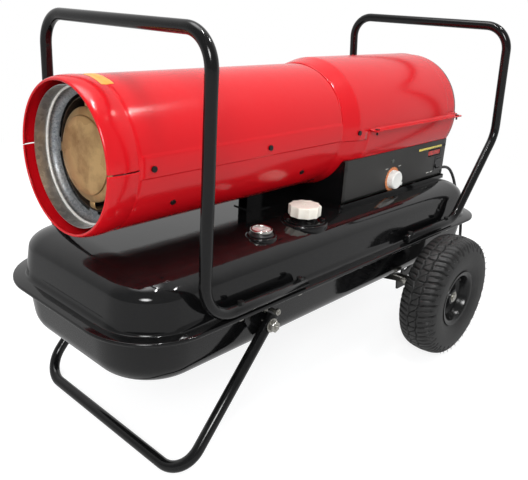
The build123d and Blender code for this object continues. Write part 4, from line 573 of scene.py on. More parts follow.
def rolled_metal_group():
    """Bare or plated sheet: crystal patches a little lighter and darker, fine drawn streaks
    along X, and stains that are rougher."""
    tree, entry, leave = effect_group("rolled_metal", [
        ("Light", "NodeSocketColor", (0.6, 0.6, 0.6, 1)),
        ("Dark", "NodeSocketColor", (0.3, 0.3, 0.3, 1)),
        ("Stain", "NodeSocketColor", (0.3, 0.3, 0.3, 1)),
        ("Roughness", "NodeSocketFloat", 0.35),
        ("Crystal scale", "NodeSocketFloat", 120.0),
        ("Stain amount", "NodeSocketFloat", 0.2),
        ("Streaks", "NodeSocketFloat", 0.1),
    ], FINISH_OUTPUTS)
    place = add_node(tree, "ShaderNodeTexCoord").outputs["Object"]
    warp = add_node(tree, "ShaderNodeTexNoise", {"Vector": place, "Scale": 60.0})
    bent = add_node(tree, "ShaderNodeMix", {
        0: 0.02, 4: place, 5: warp.outputs["Color"],
    }, data_type="VECTOR")
    crystal = add_node(tree, "ShaderNodeTexVoronoi", {
        "Vector": bent.outputs[1], "Scale": entry.outputs["Crystal scale"],
    })
    shade = add_node(tree, "ShaderNodeSeparateColor", {0: crystal.outputs["Color"]})
    metal = add_node(tree, "ShaderNodeMix", {
        0: shade.outputs[0], 6: entry.outputs["Light"], 7: entry.outputs["Dark"],
    }, data_type="RGBA")
    cloud = add_node(tree, "ShaderNodeTexNoise", {
        "Vector": place, "Scale": 17.0, "Detail": 7.0, "Roughness": 0.6,
    })
    stain = add_node(tree, "ShaderNodeMapRange", {
        "Value": cloud.outputs[0], "From Min": 0.42, "From Max": 0.68,
    })
    amount = add_node(tree, "ShaderNodeMath", {
        0: stain.outputs[0], 1: entry.outputs["Stain amount"],
    }, operation="MULTIPLY")
    tone = add_node(tree, "ShaderNodeMix", {
        0: amount.outputs[0], 6: metal.outputs[2], 7: entry.outputs["Stain"],
    }, data_type="RGBA")
    patch = add_node(tree, "ShaderNodeMath", {
        0: shade.outputs[1], 1: 0.12, 2: entry.outputs["Roughness"],
    }, operation="MULTIPLY_ADD")
    rough = add_node(tree, "ShaderNodeMath", {
        0: amount.outputs[0], 1: 0.35, 2: patch.outputs[0],
    }, operation="MULTIPLY_ADD", use_clamp=True)
    along = add_node(tree, "ShaderNodeMapping", {"Vector": place, "Scale": (60, 1600, 1600)})
    streak = add_node(tree, "ShaderNodeTexNoise", {
        "Vector": along.outputs[0], "Scale": 1.0, "Detail": 2.0,
    })
    bump = add_node(tree, "ShaderNodeBump", {
        "Height": streak.outputs[0], "Strength": entry.outputs["Streaks"],
        "Distance": 0.0003,
    })
    tree.links.new(tone.outputs[2], leave.inputs["Color"])
    tree.links.new(rough.outputs[0], leave.inputs["Roughness"])
    tree.links.new(bump.outputs[0], leave.inputs["Normal"])
    return tree


moulded = moulded_group()
rolled_metal = rolled_metal_group()
zinc = finish(
    "zinc_plate", rolled_metal,
    {"Light": srgb(205, 203, 196), "Dark": srgb(168, 166, 160), "Stain": srgb(120, 116, 105),
     "Roughness": 0.22, "Crystal scale": 500.0, "Stain amount": 0.25, "Streaks": 0.05},
    metallic=1.0,
)
strainer_steel = finish(
    "strainer_steel", rolled_metal,
    {"Light": srgb(190, 188, 180), "Dark": srgb(160, 158, 150), "Stain": srgb(110, 104, 90),
     "Roughness": 0.3, "Crystal scale": 300.0, "Stain amount": 0.2, "Streaks": 0.1},
    metallic=1.0,
)
seal_rubber = finish(
    "seal_rubber", moulded,
    {"Color": (0.012, 0.012, 0.012, 1), "Roughness": 0.6, "Grain scale": 900.0,
     "Grain depth": 0.2, "Mottle": 0.05},
)
black_plastic = finish(
    "black_plastic", moulded,
    {"Color": (0.008, 0.008, 0.009, 1), "Roughness": 0.3, "Grain scale": 1800.0,
     "Grain depth": 0.12, "Mottle": 0.03},
)
ivory_plastic = finish(
    "ivory_plastic", moulded,
    {"Color": srgb(238, 233, 220), "Roughness": 0.34, "Grain scale": 1200.0,
     "Grain depth": 0.10, "Mottle": 0.02},
)
dress(tank_black, "filler_neck")
dress(zinc, "drain_plug")
dress(strainer_steel, "filler_strainer")
dress(seal_rubber, "cap_seal")


def cap_grid():
    """Cap turned about +Z. Its radius is drawn in by hollow flats, the size of a cosine of
    the angle, which leaves a sharp corner between each two; they fade out over the top, which
    has a small dimple at its middle where the mould was filled."""
    turn = np.linspace(0, 2 * np.pi, 241)[None, :-1]
    levels = np.array([
        (21.5, 1.0, 0), (23.0, 0.0, 0), (29.2, 0.0, 0.8), (30, 0.8, 1), (30.2, 17.6, 1),
        (29.9, 18.8, 1), (29.2, 19.6, 1), (28.2, 20, 1), (26, 20, 0.8), (22, 19.9, 0.3),
        (18, 19.7, 0), (10, 19.5, 0), (4, 19.4, 0), (2.8, 19, 0), (1.8, 18, 0), (0, 17.6, 0),
    ])
    reach, rise, share = (levels[:, index, None] for index in range(3))
    flat = np.abs(np.cos(CAP_FLATS * turn / 2)) * CAP_FLAT_DEPTH * share
    radius = reach - flat
    return np.stack(np.broadcast_arrays(
        CAP_X + radius * np.cos(turn), CAP_Y + radius * np.sin(turn), CAP_BOTTOM_Z + rise
    ), -1)


cap = surface("ivory_cap", cap_grid(), wrap_columns=True, flip=True)
sharpen(cap, 24)
fit(cap, ivory_plastic, "cap_ivory", "cap", "fuel_cap")

gauge_chrome = finish(
    "gauge_chrome", rolled_metal,
    {"Light": srgb(222, 220, 216), "Dark": srgb(206, 204, 200), "Stain": srgb(140, 130, 120),
     "Roughness": 0.1, "Crystal scale": 200.0, "Stain amount": 0.12, "Streaks": 0.02},
    metallic=1.0,
)
dial_card = bpy.data.materials.new("gauge_dial_card")
dial_card.use_nodes = True
card_tree = dial_card.node_tree
card_place = add_node(card_tree, "ShaderNodeTexCoord").outputs["Object"]
card_local = add_node(card_tree, "ShaderNodeMapping", {
    "Vector": card_place, "Location": (-GAUGE_X * MM, -GAUGE_Y * MM, 0),
})
card_axes = add_node(card_tree, "ShaderNodeSeparateXYZ", {0: card_local.outputs[0]})
card_angle = add_node(card_tree, "ShaderNodeMath", {
    0: card_axes.outputs["Y"], 1: card_axes.outputs["X"],
}, operation="ARCTAN2")
card_ticks = add_node(card_tree, "ShaderNodeMath", {
    0: add_node(card_tree, "ShaderNodeMath", {
        0: card_angle.outputs[0], 1: 12.0,
    }, operation="MULTIPLY").outputs[0],
}, operation="COSINE")
card_flat = add_node(card_tree, "ShaderNodeCombineXYZ", {
    0: card_axes.outputs["X"], 1: card_axes.outputs["Y"],
})
card_radius = add_node(card_tree, "ShaderNodeVectorMath", {
    0: card_flat.outputs[0],
}, operation="LENGTH")
card_outer = add_node(card_tree, "ShaderNodeMath", {
    0: card_radius.outputs["Value"], 1: 0.0115,
}, operation="GREATER_THAN")
card_line = add_node(card_tree, "ShaderNodeMath", {
    0: card_ticks.outputs[0], 1: 0.9,
}, operation="GREATER_THAN")
card_mark = add_node(card_tree, "ShaderNodeMath", {
    0: card_outer.outputs[0], 1: card_line.outputs[0],
}, operation="MULTIPLY")
card_red = add_node(card_tree, "ShaderNodeMapRange", {
    "Value": card_angle.outputs[0], "From Min": 1.2, "From Max": 1.25,
})
card_ground = add_node(card_tree, "ShaderNodeMix", {
    0: card_red.outputs[0], 6: srgb(226, 196, 188), 7: srgb(206, 92, 84),
}, data_type="RGBA")
card_tone = add_node(card_tree, "ShaderNodeMix", {
    0: card_mark.outputs[0], 6: card_ground.outputs[2], 7: (0.01, 0.01, 0.01, 1),
}, data_type="RGBA")
card_tree.links.new(card_tone.outputs[2], card_tree.nodes["Principled BSDF"].inputs["Base Color"])
card_tree.nodes["Principled BSDF"].inputs["Roughness"].default_value = 0.5

lens_clear = bpy.data.materials.new("gauge_lens_clear")
lens_clear.use_nodes = True
for label, value in (
    ("Base Color", (0.98, 0.97, 0.96, 1)), ("Roughness", 0.03), ("Alpha", 0.22),
    ("IOR", 1.49), ("Coat Weight", 0.5),
):
    lens_clear.node_tree.nodes["Principled BSDF"].inputs[label].default_value = value


def turned_about_z(centre_x, centre_y, levels, points=97):
    """Surface turned about an upright axis from (radius, height) levels."""
    turn = np.linspace(0, 2 * np.pi, points)[None, :-1]
    reach, rise = (np.array(levels, float)[:, index, None] for index in (0, 1))
    return np.stack(np.broadcast_arrays(
        centre_x + reach * np.cos(turn), centre_y + reach * np.sin(turn), rise
    ), -1)


gauge_ring = close_up(surface("gauge_ring", turned_about_z(GAUGE_X, GAUGE_Y, [
    (15.2, 339.5), (15.4, 341.6), (16.2, 342.9), (17.4, 343.4), (18.8, 342.9), (19.6, 341.5),
    (19.7, 339.5), (19.2, 337.8), (18.6, 337.2), (15.4, 337.2),
]), wrap_rows=True, wrap_columns=True))
fit(gauge_ring, gauge_chrome, "gauge_chrome", "chassis", "gauge_body")
gauge_seat = close_up(surface("gauge_seat", turned_about_z(GAUGE_X, GAUGE_Y, [
    (15.4, 337.4), (18.8, 337.4), (19.0, 335.2), (19.6, 334.6), (20.8, 334.4), (21.4, 333.8),
    (21.6, 331.8), (15.4, 331.8),
]), wrap_rows=True, wrap_columns=True))
fit(gauge_seat, black_plastic, "black_plastic", "chassis")
dress(dial_card, "gauge_dial")
dress(black_plastic, "gauge_needle")
dress(lens_clear, "gauge_lens")
float_foam = finish(
    "float_foam", moulded,
    {"Color": (0.2, 0.2, 0.19, 1), "Roughness": 0.7, "Grain scale": 700.0,
     "Grain depth": 0.4, "Mottle": 0.2},
)
dress(float_foam, "float_arm")

# ---- Tube handles and front leg ---------------------------------------------------------
# Round steel tube of 19 mm bent into hoops and painted gloss black. The handles are bolted
# down through the tank's flange and the leg hangs on two brackets below it.
TUBE_RADIUS, TUBE_Y, TUBE_BEND, TUBE_CORNER = 9.5, 202, 60, 50
TUBE_Z, TUBE_END_ROUND = FLANGE_Z + TUBE_RADIUS, 1.0


def bent_path(points, radii):
    """Centreline of a bent tube: straight runs, and at each corner a circular arc tangent to
    both, whose points are the arc's centre plus its radius turned through the bend."""
    points = [np.array(point, float) for point in points]
    made = [points[0]]
    for before, corner, after, radius in zip(points, points[1:], points[2:], radii):
        toward, away = before - corner, after - corner
        toward, away = toward / np.linalg.norm(toward), away / np.linalg.norm(away)
        half = math.acos(np.clip(toward @ away, -1, 1)) / 2
        middle = toward + away
        centre = corner + middle / np.linalg.norm(middle) * radius / math.sin(half)
        first = corner + toward * radius / math.tan(half) - centre
        last = corner + away * radius / math.tan(half) - centre
        sweep = math.pi - 2 * half
        share = np.linspace(0, 1, max(6, int(sweep / 0.08)))[:, None]
        made += list(
            centre
            + (np.sin((1 - share) * sweep) * first + np.sin(share * sweep) * last)
            / math.sin(sweep)
        )
    made.append(points[-1])
    return np.array(made)


def tube_grid(path, radius, sides=40):
    """Circles square to a path, each carried from the last one without twist; the ends are
    rounded over by rings that shrink to a point."""
    path = np.array(path, float)
    start = (path[0] - path[1]) / np.linalg.norm(path[0] - path[1])
    end = (path[-1] - path[-2]) / np.linalg.norm(path[-1] - path[-2])
    path = np.concatenate([
        [path[0], path[0], path[0] - TUBE_END_ROUND * start], path[1:-1],
        [path[-1] - TUBE_END_ROUND * end, path[-1], path[-1]],
    ])
    radii = np.full(len(path), float(radius))
    radii[[0, -1]], radii[[1, -2]] = 0, radius - TUBE_END_ROUND
    step = np.diff(path, axis=0)
    length = np.linalg.norm(step, axis=1)
    for index in np.nonzero(length < 1e-9)[0]:
        step[index] = step[index + 1] if index == 0 else step[index - 1]
    step /= np.linalg.norm(step, axis=1)[:, None]
    tangent = np.concatenate([step[:1], step[:-1] + step[1:], step[-1:]])
    tangent /= np.linalg.norm(tangent, axis=1)[:, None]
    across = np.cross(tangent[0], (0.31, 0.2, 0.93))
    normals = []
    for direction in tangent:
        across = across - direction * (across @ direction)
        across /= np.linalg.norm(across)
        normals.append(across)
    normal = np.array(normals)
    other = np.cross(tangent, normal)
    turn = np.linspace(0, 2 * np.pi, sides + 1)[:-1]
    ring = (
        normal[:, None, :] * np.cos(turn)[None, :, None]
        - other[:, None, :] * np.sin(turn)[None, :, None]
    )
    return path[:, None, :] + radii[:, None, None] * ring


def hoop(side_points, side_bends):
    """Path of a hoop: the side view's (x, z) points on -Y, across, and back on +Y."""
    near = [(x, -TUBE_Y, z) for x, z in side_points]
    far = [(x, TUBE_Y, z) for x, z in reversed(side_points)]
    return bent_path(near + far, [*side_bends, TUBE_CORNER, TUBE_CORNER, *side_bends])


frame_black = finish(
    "frame_black", spray_paint,
    {"Color": (0.004, 0.004, 0.0042, 1), "Roughness": 0.12, "Peel scale": 420.0,
     "Peel depth": 0.09, "Dust": 0.012},
    ior=1.42,
)
front_handle = surface("front_handle_tube", tube_grid(hoop(
    [(-158, TUBE_Z), (-386.5, TUBE_Z), (-386.5, 669.8)], [TUBE_BEND]
), TUBE_RADIUS), wrap_columns=True)
fit(front_handle, frame_black, "frame_black", "chassis", "front_handle")

REAR_SLOPE, REAR_LEAN, ELBOW_Z = math.radians(51.3), math.radians(5.6), 441
elbow_turn = (math.pi / 2 + REAR_LEAN - REAR_SLOPE) / 2
elbow_normal = (REAR_SLOPE + REAR_LEAN - math.pi / 2) / 2
elbow_x = (
    TANK_HALF_LENGTH - TUBE_RADIUS - TUBE_BEND
    + TUBE_BEND / math.cos(elbow_turn) * math.cos(elbow_normal)
)
rear_handle = surface("rear_handle_tube", tube_grid(hoop([
    (166, TUBE_Z), (elbow_x - (ELBOW_Z - TUBE_Z) / math.tan(REAR_SLOPE), TUBE_Z),
    (elbow_x, ELBOW_Z), (elbow_x - (678 - ELBOW_Z) * math.tan(REAR_LEAN), 678),
], [TUBE_BEND, TUBE_BEND]), TUBE_RADIUS), wrap_columns=True)
fit(rear_handle, frame_black, "frame_black", "chassis", "rear_handle")

LEG_SLOPE, FOOT_X, FOOT_Z, PIVOT_X, LEG_TAIL = math.radians(49.5), -422.8, 9.5, -246, 16
pivot_z = 9.0 + (PIVOT_X - FOOT_X) * math.tan(LEG_SLOPE)
front_leg = surface("front_leg_tube", tube_grid(hoop([
    (PIVOT_X + LEG_TAIL * math.cos(LEG_SLOPE), pivot_z + LEG_TAIL * math.sin(LEG_SLOPE)),
    (FOOT_X, FOOT_Z),
], []), TUBE_RADIUS), wrap_columns=True)
fit(front_leg, frame_black, "frame_black", "chassis", "front_leg")
dress(frame_black, "leg_brackets", "axle_brackets")
dress(zinc, "axle", "axle_nuts")


def painted_above(material, height):
    """Blackens a plated material's copy above a height: its metal and colour fade out there,
    as on bolts that were sprayed over together with the frame."""
    painted = material.copy()
    painted.name = material.name + "_part_painted"
    tree = painted.node_tree
    shader = tree.nodes["Principled BSDF"]
    level = add_node(tree, "ShaderNodeSeparateXYZ", {
        0: add_node(tree, "ShaderNodeTexCoord").outputs["Object"],
    })
    bare = add_node(tree, "ShaderNodeMath", {
        0: level.outputs["Z"], 1: height,
    }, operation="LESS_THAN")
    colour = add_node(tree, "ShaderNodeMix", {
        0: bare.outputs[0], 6: (0.004, 0.004, 0.004, 1),
        7: shader.inputs["Base Color"].links[0].from_socket,
    }, data_type="RGBA")
    tree.links.new(colour.outputs[2], shader.inputs["Base Color"])
    tree.links.new(bare.outputs[0], shader.inputs["Metallic"])
    return painted


dress(painted_above(zinc, (FLANGE_Z - 1) * MM), "frame_bolts")


def bar_grid(outline, side, low, high, edge):
    """Closed bar: an outline of (x, z) points carried from y = side * low out to side * high,
    drawn in by edge at both ends and closed at its middle."""
    outline = np.array(outline, float)
    middle = outline.mean(axis=0)
    away = outline - middle
    length = np.linalg.norm(away, axis=1, keepdims=True)
    rings = []
    for share, depth in (
        (None, low), (edge, low), (0, low + edge), (0, high - edge), (0.3 * edge, high - 0.3 * edge),
        (edge, high), (None, high),
    ):
        flat = np.broadcast_to(middle, outline.shape) if share is None else (
            middle + away * (1 - share / length)
        )
        rings.append(np.stack([flat[:, 0], np.full(len(flat), side * depth), flat[:, 1]], -1))
    return np.array(rings)


def ring_outline(centre_x, centre_z, radius, corners, start=0.0):
    """Regular polygon of (x, z) points."""
    turn = start + 2 * np.pi * np.arange(corners) / corners
    return np.stack([centre_x + radius * np.cos(turn), centre_z + radius * np.sin(turn)], -1)


for leg_side, leg_name in ((-1, "left"), (1, "right")):
    fastener = close_up(surface(
        f"{leg_name}_pivot_nut",
        bar_grid(ring_outline(PIVOT_X, pivot_z, 12, 36), leg_side, 210.7, 212.3, 0.4),
        wrap_columns=True,
    ))
    nut = close_up(surface(
        f"{leg_name}_pivot_hex",
        bar_grid(ring_outline(PIVOT_X, pivot_z, 9.8, 6, 0.4), leg_side, 212.3, 220.3, 1.0),
        wrap_columns=True,
    ))
    bolt_end = close_up(surface(
        f"{leg_name}_pivot_bolt",
        bar_grid(ring_outline(PIVOT_X, pivot_z, 4, 20), leg_side, 219, 223.5, 0.6),
        wrap_columns=True,
    ))
    stop_nut = close_up(surface(
        f"{leg_name}_stop_hex",
        bar_grid(ring_outline(PIVOT_X + 15, pivot_z + 17.6, 6.2, 6, 0.2), leg_side, 205, 210.5,
                 0.7),
        wrap_columns=True,
    ))
    stop_bolt = close_up(surface(
        f"{leg_name}_stop_bolt",
        bar_grid(ring_outline(PIVOT_X + 15, pivot_z + 17.6, 3.2, 20), leg_side, 192.2, 212.5,
                 0.5),
        wrap_columns=True,
    ))
    for part in (fastener, nut, bolt_end, stop_nut, stop_bolt):
        sharpen(part, 30)
        fit(part, zinc, "zinc", "chassis")

# ---- Wheels -----------------------------------------------------------------------------
# Pneumatic barrow tyres on pressed black rims. The tread has two zigzag grooves between
# three rows of blocks, and lugs that wrap over the shoulders.
AXLE_X, AXLE_Z, WHEEL_Y = 268.5, 130, 253
TYRE_RADIUS, LUGS, TREAD_DEPTH, TYRE_COLUMNS = 130, 32, 5.2, 608


def soft_step(value, edge, width):
    """0 below the edge, 1 above it, with a smooth rise over the width."""
    share = np.clip((value - edge) / width + 0.5, 0, 1)
    return share * share * (3 - 2 * share)


def groove(offset, half_width, width=1.2):
    """1 where the offset from a groove's middle is less than half its width."""
    return 1 - soft_step(np.abs(offset), half_width, width)


def section_line(points, tread_step, wall_step, tread_radius):
    """Points along a Catmull-Rom curve through the section's (y, radius) points, closer
    together beyond the tread's radius than on the side walls."""
    points = np.array(points, float)
    padded = np.concatenate([[2 * points[0] - points[1]], points,
                             [2 * points[-1] - points[-2]]])
    t = np.linspace(0, 1, 20, endpoint=False)[:, None]
    a, b, c, d = (padded[index:len(padded) - 3 + index, None] for index in range(4))
    curve = 0.5 * (
        2 * b + (c - a) * t + (2 * a - 5 * b + 4 * c - d) * t**2
        + (3 * b - a - 3 * c + d) * t**3
    )
    curve = np.concatenate([curve.reshape(-1, 2), points[-1:]])
    step = np.where(curve[1:, 1] > tread_radius, tread_step, wall_step)
    travelled = np.concatenate([
        [0], np.cumsum(np.linalg.norm(np.diff(curve, axis=0), axis=1) / step),
    ])
    even = np.linspace(0, travelled[-1], int(travelled[-1]))
    return np.stack([np.interp(even, travelled, curve[:, axis]) for axis in (0, 1)], -1)


def tyre_grid(side):
    """Section carried round the axle. The tread is cut in along the section's normal: zigzag
    grooves follow a triangle wave round the wheel, straight and slanted cuts part the middle, and
    close slots part the shoulder ribs, every other one longer; rings run round the wall."""
    half = [
        (31.0, 52.2), (31.4, 58), (32.0, 61.8), (34.6, 65.2), (37.6, 72), (40.2, 83), (41, 94),
        (40.4, 104), (38.6, 112), (35.4, 119), (30.6, 124), (22, 127.6), (11, 129.4), (0, 130),
    ]
    section = section_line(half + [(-y, r) for y, r in reversed(half[:-1])], 1.05, 3.2, 104)
    slope = np.gradient(section, axis=0)
    slope /= np.linalg.norm(slope, axis=1)[:, None]
    normal = np.stack([slope[:, 1], -slope[:, 0]], -1)
    middle = np.array([0, 90.0])
    outward = np.sign(((section - middle) * normal).sum(axis=1))[:, None]
    normal = normal * outward
    turn = np.linspace(0, 2 * np.pi, TYRE_COLUMNS + 1)[:-1][:, None]
    y, r = section[:, 0][None, :], section[:, 1][None, :]
    out = np.abs(y)
    phase = turn * LUGS / (2 * np.pi)
    arc = 2 * np.pi * TYRE_RADIUS / LUGS
    zigzag = 1.7 * (4 * np.abs((phase - 0.25) % 1 - 0.5) - 1)
    cut = groove(out - 9 - zigzag * np.sign(y), 1.25, 1.0)
    cross = groove((phase % 1 - 0.5) * arc, 1.0, 1.0) * groove(y, 9, 2)
    slant = groove(((phase + 0.5 + 0.03 * y) % 1 - 0.5) * arc, 0.9, 1.0) * groove(y, 9, 2)
    stagger = np.where(y > 0, 0.5, 0.0)
    rib = 2 * phase + stagger + 0.02 * out
    rib_slot = groove((rib % 1 - 0.5) * arc / 2, 1.5 + 0.05 * np.maximum(0, out - 20), 1.2)
    long_rib = np.floor(rib) % 2
    reach = soft_step(r, 114 - 7 * long_rib, 3) * soft_step(out, 12.5, 2)
    depth = TREAD_DEPTH * np.maximum.reduce([
        cut, 0.9 * cross, 0.7 * slant, rib_slot * reach * (0.7 + 0.3 * long_rib),
    ])
    rings = 0.45 * sum(groove(r - level, 0.9, 1.4) for level in (74, 80, 101))
    inward = depth - np.where(out > 30, rings, 0)
    y = y - inward * normal[None, :, 0]
    r = r - inward * normal[None, :, 1]
    return np.stack([
        AXLE_X + r * np.cos(turn), side * (WHEEL_Y + y), AXLE_Z + r * np.sin(turn)
    ], -1)


def moulding_nibs(side, count=44):
    """Thin rubber whiskers left by the mould's vents: little cones that stand on the
    shoulder, evenly round the wheel."""
    ring = np.linspace(0, 2 * np.pi, 6)[:-1]
    grids = []
    for index in range(count):
        turn = 2 * np.pi * (index + 0.25) / count
        out = np.array([math.cos(turn), 0.45 * side, math.sin(turn)])
        out /= np.linalg.norm(out)
        foot = np.array([
            AXLE_X + 119 * math.cos(turn), side * (WHEEL_Y + 35),
            AXLE_Z + 119 * math.sin(turn),
        ])
        first = np.cross(out, (0, 1, 0))
        first /= np.linalg.norm(first)
        second = np.cross(out, first)
        spread = first * np.cos(ring)[:, None] - second * np.sin(ring)[:, None]
        grids.append(np.stack([
            foot + spread * radius + out * rise for radius, rise in ((0.7, 0), (0.5, 3.5), (0, 6.5))
        ]))
    return grids


tyre_rubber = finish(
    "tyre_rubber", moulded,
    {"Color": (0.009, 0.009, 0.0092, 1), "Roughness": 0.5, "Grain scale": 600.0,
     "Grain depth": 0.35, "Mottle": 0.04},
)
rim_black = finish(
    "rim_black", spray_paint,
    {"Color": (0.006, 0.006, 0.0062, 1), "Roughness": 0.16, "Peel scale": 500.0,
     "Peel depth": 0.12, "Dust": 0.03},
    ior=1.42,
)


def sheet_loop(line, thickness):
    """Closed outline of a sheet: a line, and back along its copy moved by the thickness
    along the line's normals."""
    line = np.array(line, float)
    slope = np.gradient(line, axis=0)
    slope /= np.linalg.norm(slope, axis=1)[:, None]
    normal = np.stack([slope[:, 1], -slope[:, 0]], -1)
    return np.concatenate([line, (line + thickness * normal)[::-1]])


def turned_about_axle(side, outline, points=96):
    """Surface turned about the wheel's axle from (distance outward, radius) points."""
    turn = np.linspace(0, 2 * np.pi, points + 1)[None, :-1]
    out, radius = (np.array(outline, float)[:, index, None] for index in (0, 1))
    return np.stack(np.broadcast_arrays(
        AXLE_X + radius * np.cos(turn), side * (WHEEL_Y + out), AXLE_Z + radius * np.sin(turn)
    ), -1)


half_barrel = [
    (34.6, 59.2), (34.4, 60.4), (33.6, 60.7), (32.9, 59.8), (32.4, 57), (31.8, 52.6),
    (30.6, 51.4), (22, 50.6), (15, 46.6), (8, 45.8),
]
rim_barrel = sheet_loop(half_barrel + [(-y, r) for y, r in reversed(half_barrel)], -1.8)
rim_disc = sheet_loop([
    (12, 45.6), (13.5, 44.4), (14, 42.6), (12.6, 40.6), (9.5, 38.4), (8, 35), (8, 30), (9, 26),
    (11.5, 22.5), (12, 20), (12, 16),
], 2.0)
rim_hub = [(-15, 10.3), (-15, 16), (-14, 17), (22, 17), (23, 16), (23, 10.3)]
for wheel_side, wheel in ((-1, "left"), (1, "right")):
    rim = close_up(surface(
        f"{wheel}_rim_sheet",
        *(turned_about_axle(wheel_side, outline) for outline in (rim_barrel, rim_disc, rim_hub)),
        wrap_rows=True, wrap_columns=True,
    ))
    sharpen(rim, 50)
    fit(rim, rim_black, "rim_black", f"{wheel}_wheel", f"{wheel}_rim")
    tyre = surface(
        f"{wheel}_tread", tyre_grid(wheel_side), wrap_rows=True, flip=wheel_side > 0,
    )
    fit(tyre, tyre_rubber, "tyre_rubber", f"{wheel}_wheel", f"{wheel}_tyre")
    nibs = surface(f"{wheel}_nibs", *moulding_nibs(wheel_side), wrap_columns=True)
    fit(nibs, tyre_rubber, "tyre_rubber", f"{wheel}_wheel")
    valve_y = wheel_side * (WHEEL_Y + 6)
    valve = surface(f"{wheel}_valve", tube_grid(
        [(AXLE_X + 30, valve_y, AXLE_Z + 37), (AXLE_X + 25, valve_y + wheel_side * 14,
                                              AXLE_Z + 31)], 3.6, 20), wrap_columns=True)
    fit(valve, seal_rubber, "seal_rubber", f"{wheel}_wheel")

# ---- Casing -----------------------------------------------------------------------------
# Thin steel sheet, gloss red: a lower shell, an upper shell that laps over it at the sides,
# and a wider rear hood with a lip along each side. Both front edges are rolled.
BARREL_Z, BODY_SHEET = 479, 1.2
RIM_X, RIM_RADIUS, CREASE_X, NOSE_RADIUS = -484.5, 112, -435.5, 117.6
SHELL_RADIUS, HOOD_RADIUS, BAND_RADIUS, LIP_REACH = 116.5, 127.3, 123.5, 143
HOOD_FRONT_X, CONE_REAR_X, HOOD_CREASE_X, HOOD_REAR_X = 28, 70, 412, 450
LIP_FRONT_X, LIP_REAR_X = 103, 455
CREASE_RADIUS, SHELL_REAR_X = 115.7, 38
LAP_TOP, LAP_BOTTOM, LAP_STEP, LAP_RISE = 8.0, -7.0, 3.0, 1.0


def round_barrel(x, radius, angle):
    """Points on the barrel: radius at an angle counted up from the control panel's side."""
    turn = np.radians(angle)
    return np.stack(np.broadcast_arrays(
        x, -radius * np.cos(turn), BARREL_Z + radius * np.sin(turn)
    ), -1)


def along_barrel(stations, angles, radius_change=0.0):
    """Sheet turned about the barrel's axis: rows at (x, radius) stations, columns at the
    angles; radius_change is added to every radius."""
    x, radius = (np.array(stations, float)[:, index, None] for index in (0, 1))
    return round_barrel(x, radius + radius_change, np.asarray(angles, float)[None, :])


def shell_front(steps=16):
    """(x, radius) of a shell's front: the rolled rim, a quarter ellipse up to the widest
    point, a quarter of a cosine wave down into the crease and a sine wave up to the drum."""
    middle_x = RIM_X + 0.5 * (CREASE_X - RIM_X)
    share = np.linspace(0, 1, steps)
    rise = np.stack([
        RIM_X + (middle_x - RIM_X) * (1 - np.cos(share * np.pi / 2)),
        RIM_RADIUS + (NOSE_RADIUS - RIM_RADIUS) * np.sin(share * np.pi / 2),
    ], -1)
    fall = np.stack([
        middle_x + (CREASE_X - middle_x) * share,
        CREASE_RADIUS + (NOSE_RADIUS - CREASE_RADIUS) * np.cos(share * np.pi / 2),
    ], -1)
    leave = np.stack([
        CREASE_X + 7 * share[::2],
        CREASE_RADIUS + (SHELL_RADIUS - CREASE_RADIUS) * np.sin(share[::2] * np.pi / 2),
    ], -1)
    rim = [(RIM_X + 1.5, RIM_RADIUS - 2.4), (RIM_X + 0.3, RIM_RADIUS - 1.3)]
    return np.concatenate([rim, rise, fall[1:], leave[1:]])


body_red = finish(
    "body_red", spray_paint,
    {"Color": srgb(200, 14, 24), "Roughness": 0.17, "Peel scale": 300.0,
     "Peel depth": 0.09, "Dust": 0.015},
    ior=1.45,
)
front_line = shell_front()
nose_gap = math.degrees(math.asin(0.9 / RIM_RADIUS))
drum_line = [(x, SHELL_RADIUS) for x in np.linspace(-424, SHELL_REAR_X - 10, 40)]


def behind_nose(centres):
    """Faces that aren't in the open seam along the nose, between the two shells."""
    return (centres[:, 0] > CREASE_X + 2) | (np.abs(centres[:, 2] - BARREL_Z) > 0.9)


lap_angles = np.concatenate([
    LAP_BOTTOM + 0.25 * np.arange(6), np.linspace(LAP_BOTTOM + 2, -nose_gap, 6),
    np.linspace(-nose_gap, nose_gap, 3)[1:],
    np.linspace(nose_gap, LAP_TOP, 9)[1:], np.linspace(LAP_TOP, LAP_TOP + LAP_STEP, 7)[1:],
    np.linspace(LAP_TOP + LAP_STEP, 90, 60)[1:],
])
lap_angles = np.concatenate([lap_angles, 180 - lap_angles[-2::-1]])
from_side = 90 - np.abs(lap_angles - 90)
upper_line = np.array([*front_line, *drum_line, (SHELL_REAR_X, SHELL_RADIUS)])
lap_height = (
    LAP_RISE * soft_step(upper_line[:, :1], CREASE_X + 5, 6)
    * (1 - soft_step(from_side[None, :], LAP_TOP + LAP_STEP / 2, LAP_STEP))
    * (0.15 + 0.85 * soft_step(from_side[None, :], LAP_BOTTOM + 0.6, 1.2))
)


def upper_faces(centres):
    """The upper shell's faces: above the seam in front, down to the lap behind it."""
    return behind_nose(centres) & (
        (centres[:, 0] > CREASE_X + 2) | (centres[:, 2] > BARREL_Z)
    )


upper_shell = surface(
    "upper_casing", along_barrel(upper_line, lap_angles, lap_height), keep=upper_faces,
)
thicken(upper_shell, 0.9)
fit(upper_shell, body_red, "body_red", "chassis", "upper_shell")


def lower_faces(centres):
    """The lower shell's faces: below the seam in front, up under the lap behind it."""
    return behind_nose(centres) & (
        (centres[:, 0] > CREASE_X + 2) | (centres[:, 2] < BARREL_Z)
    )


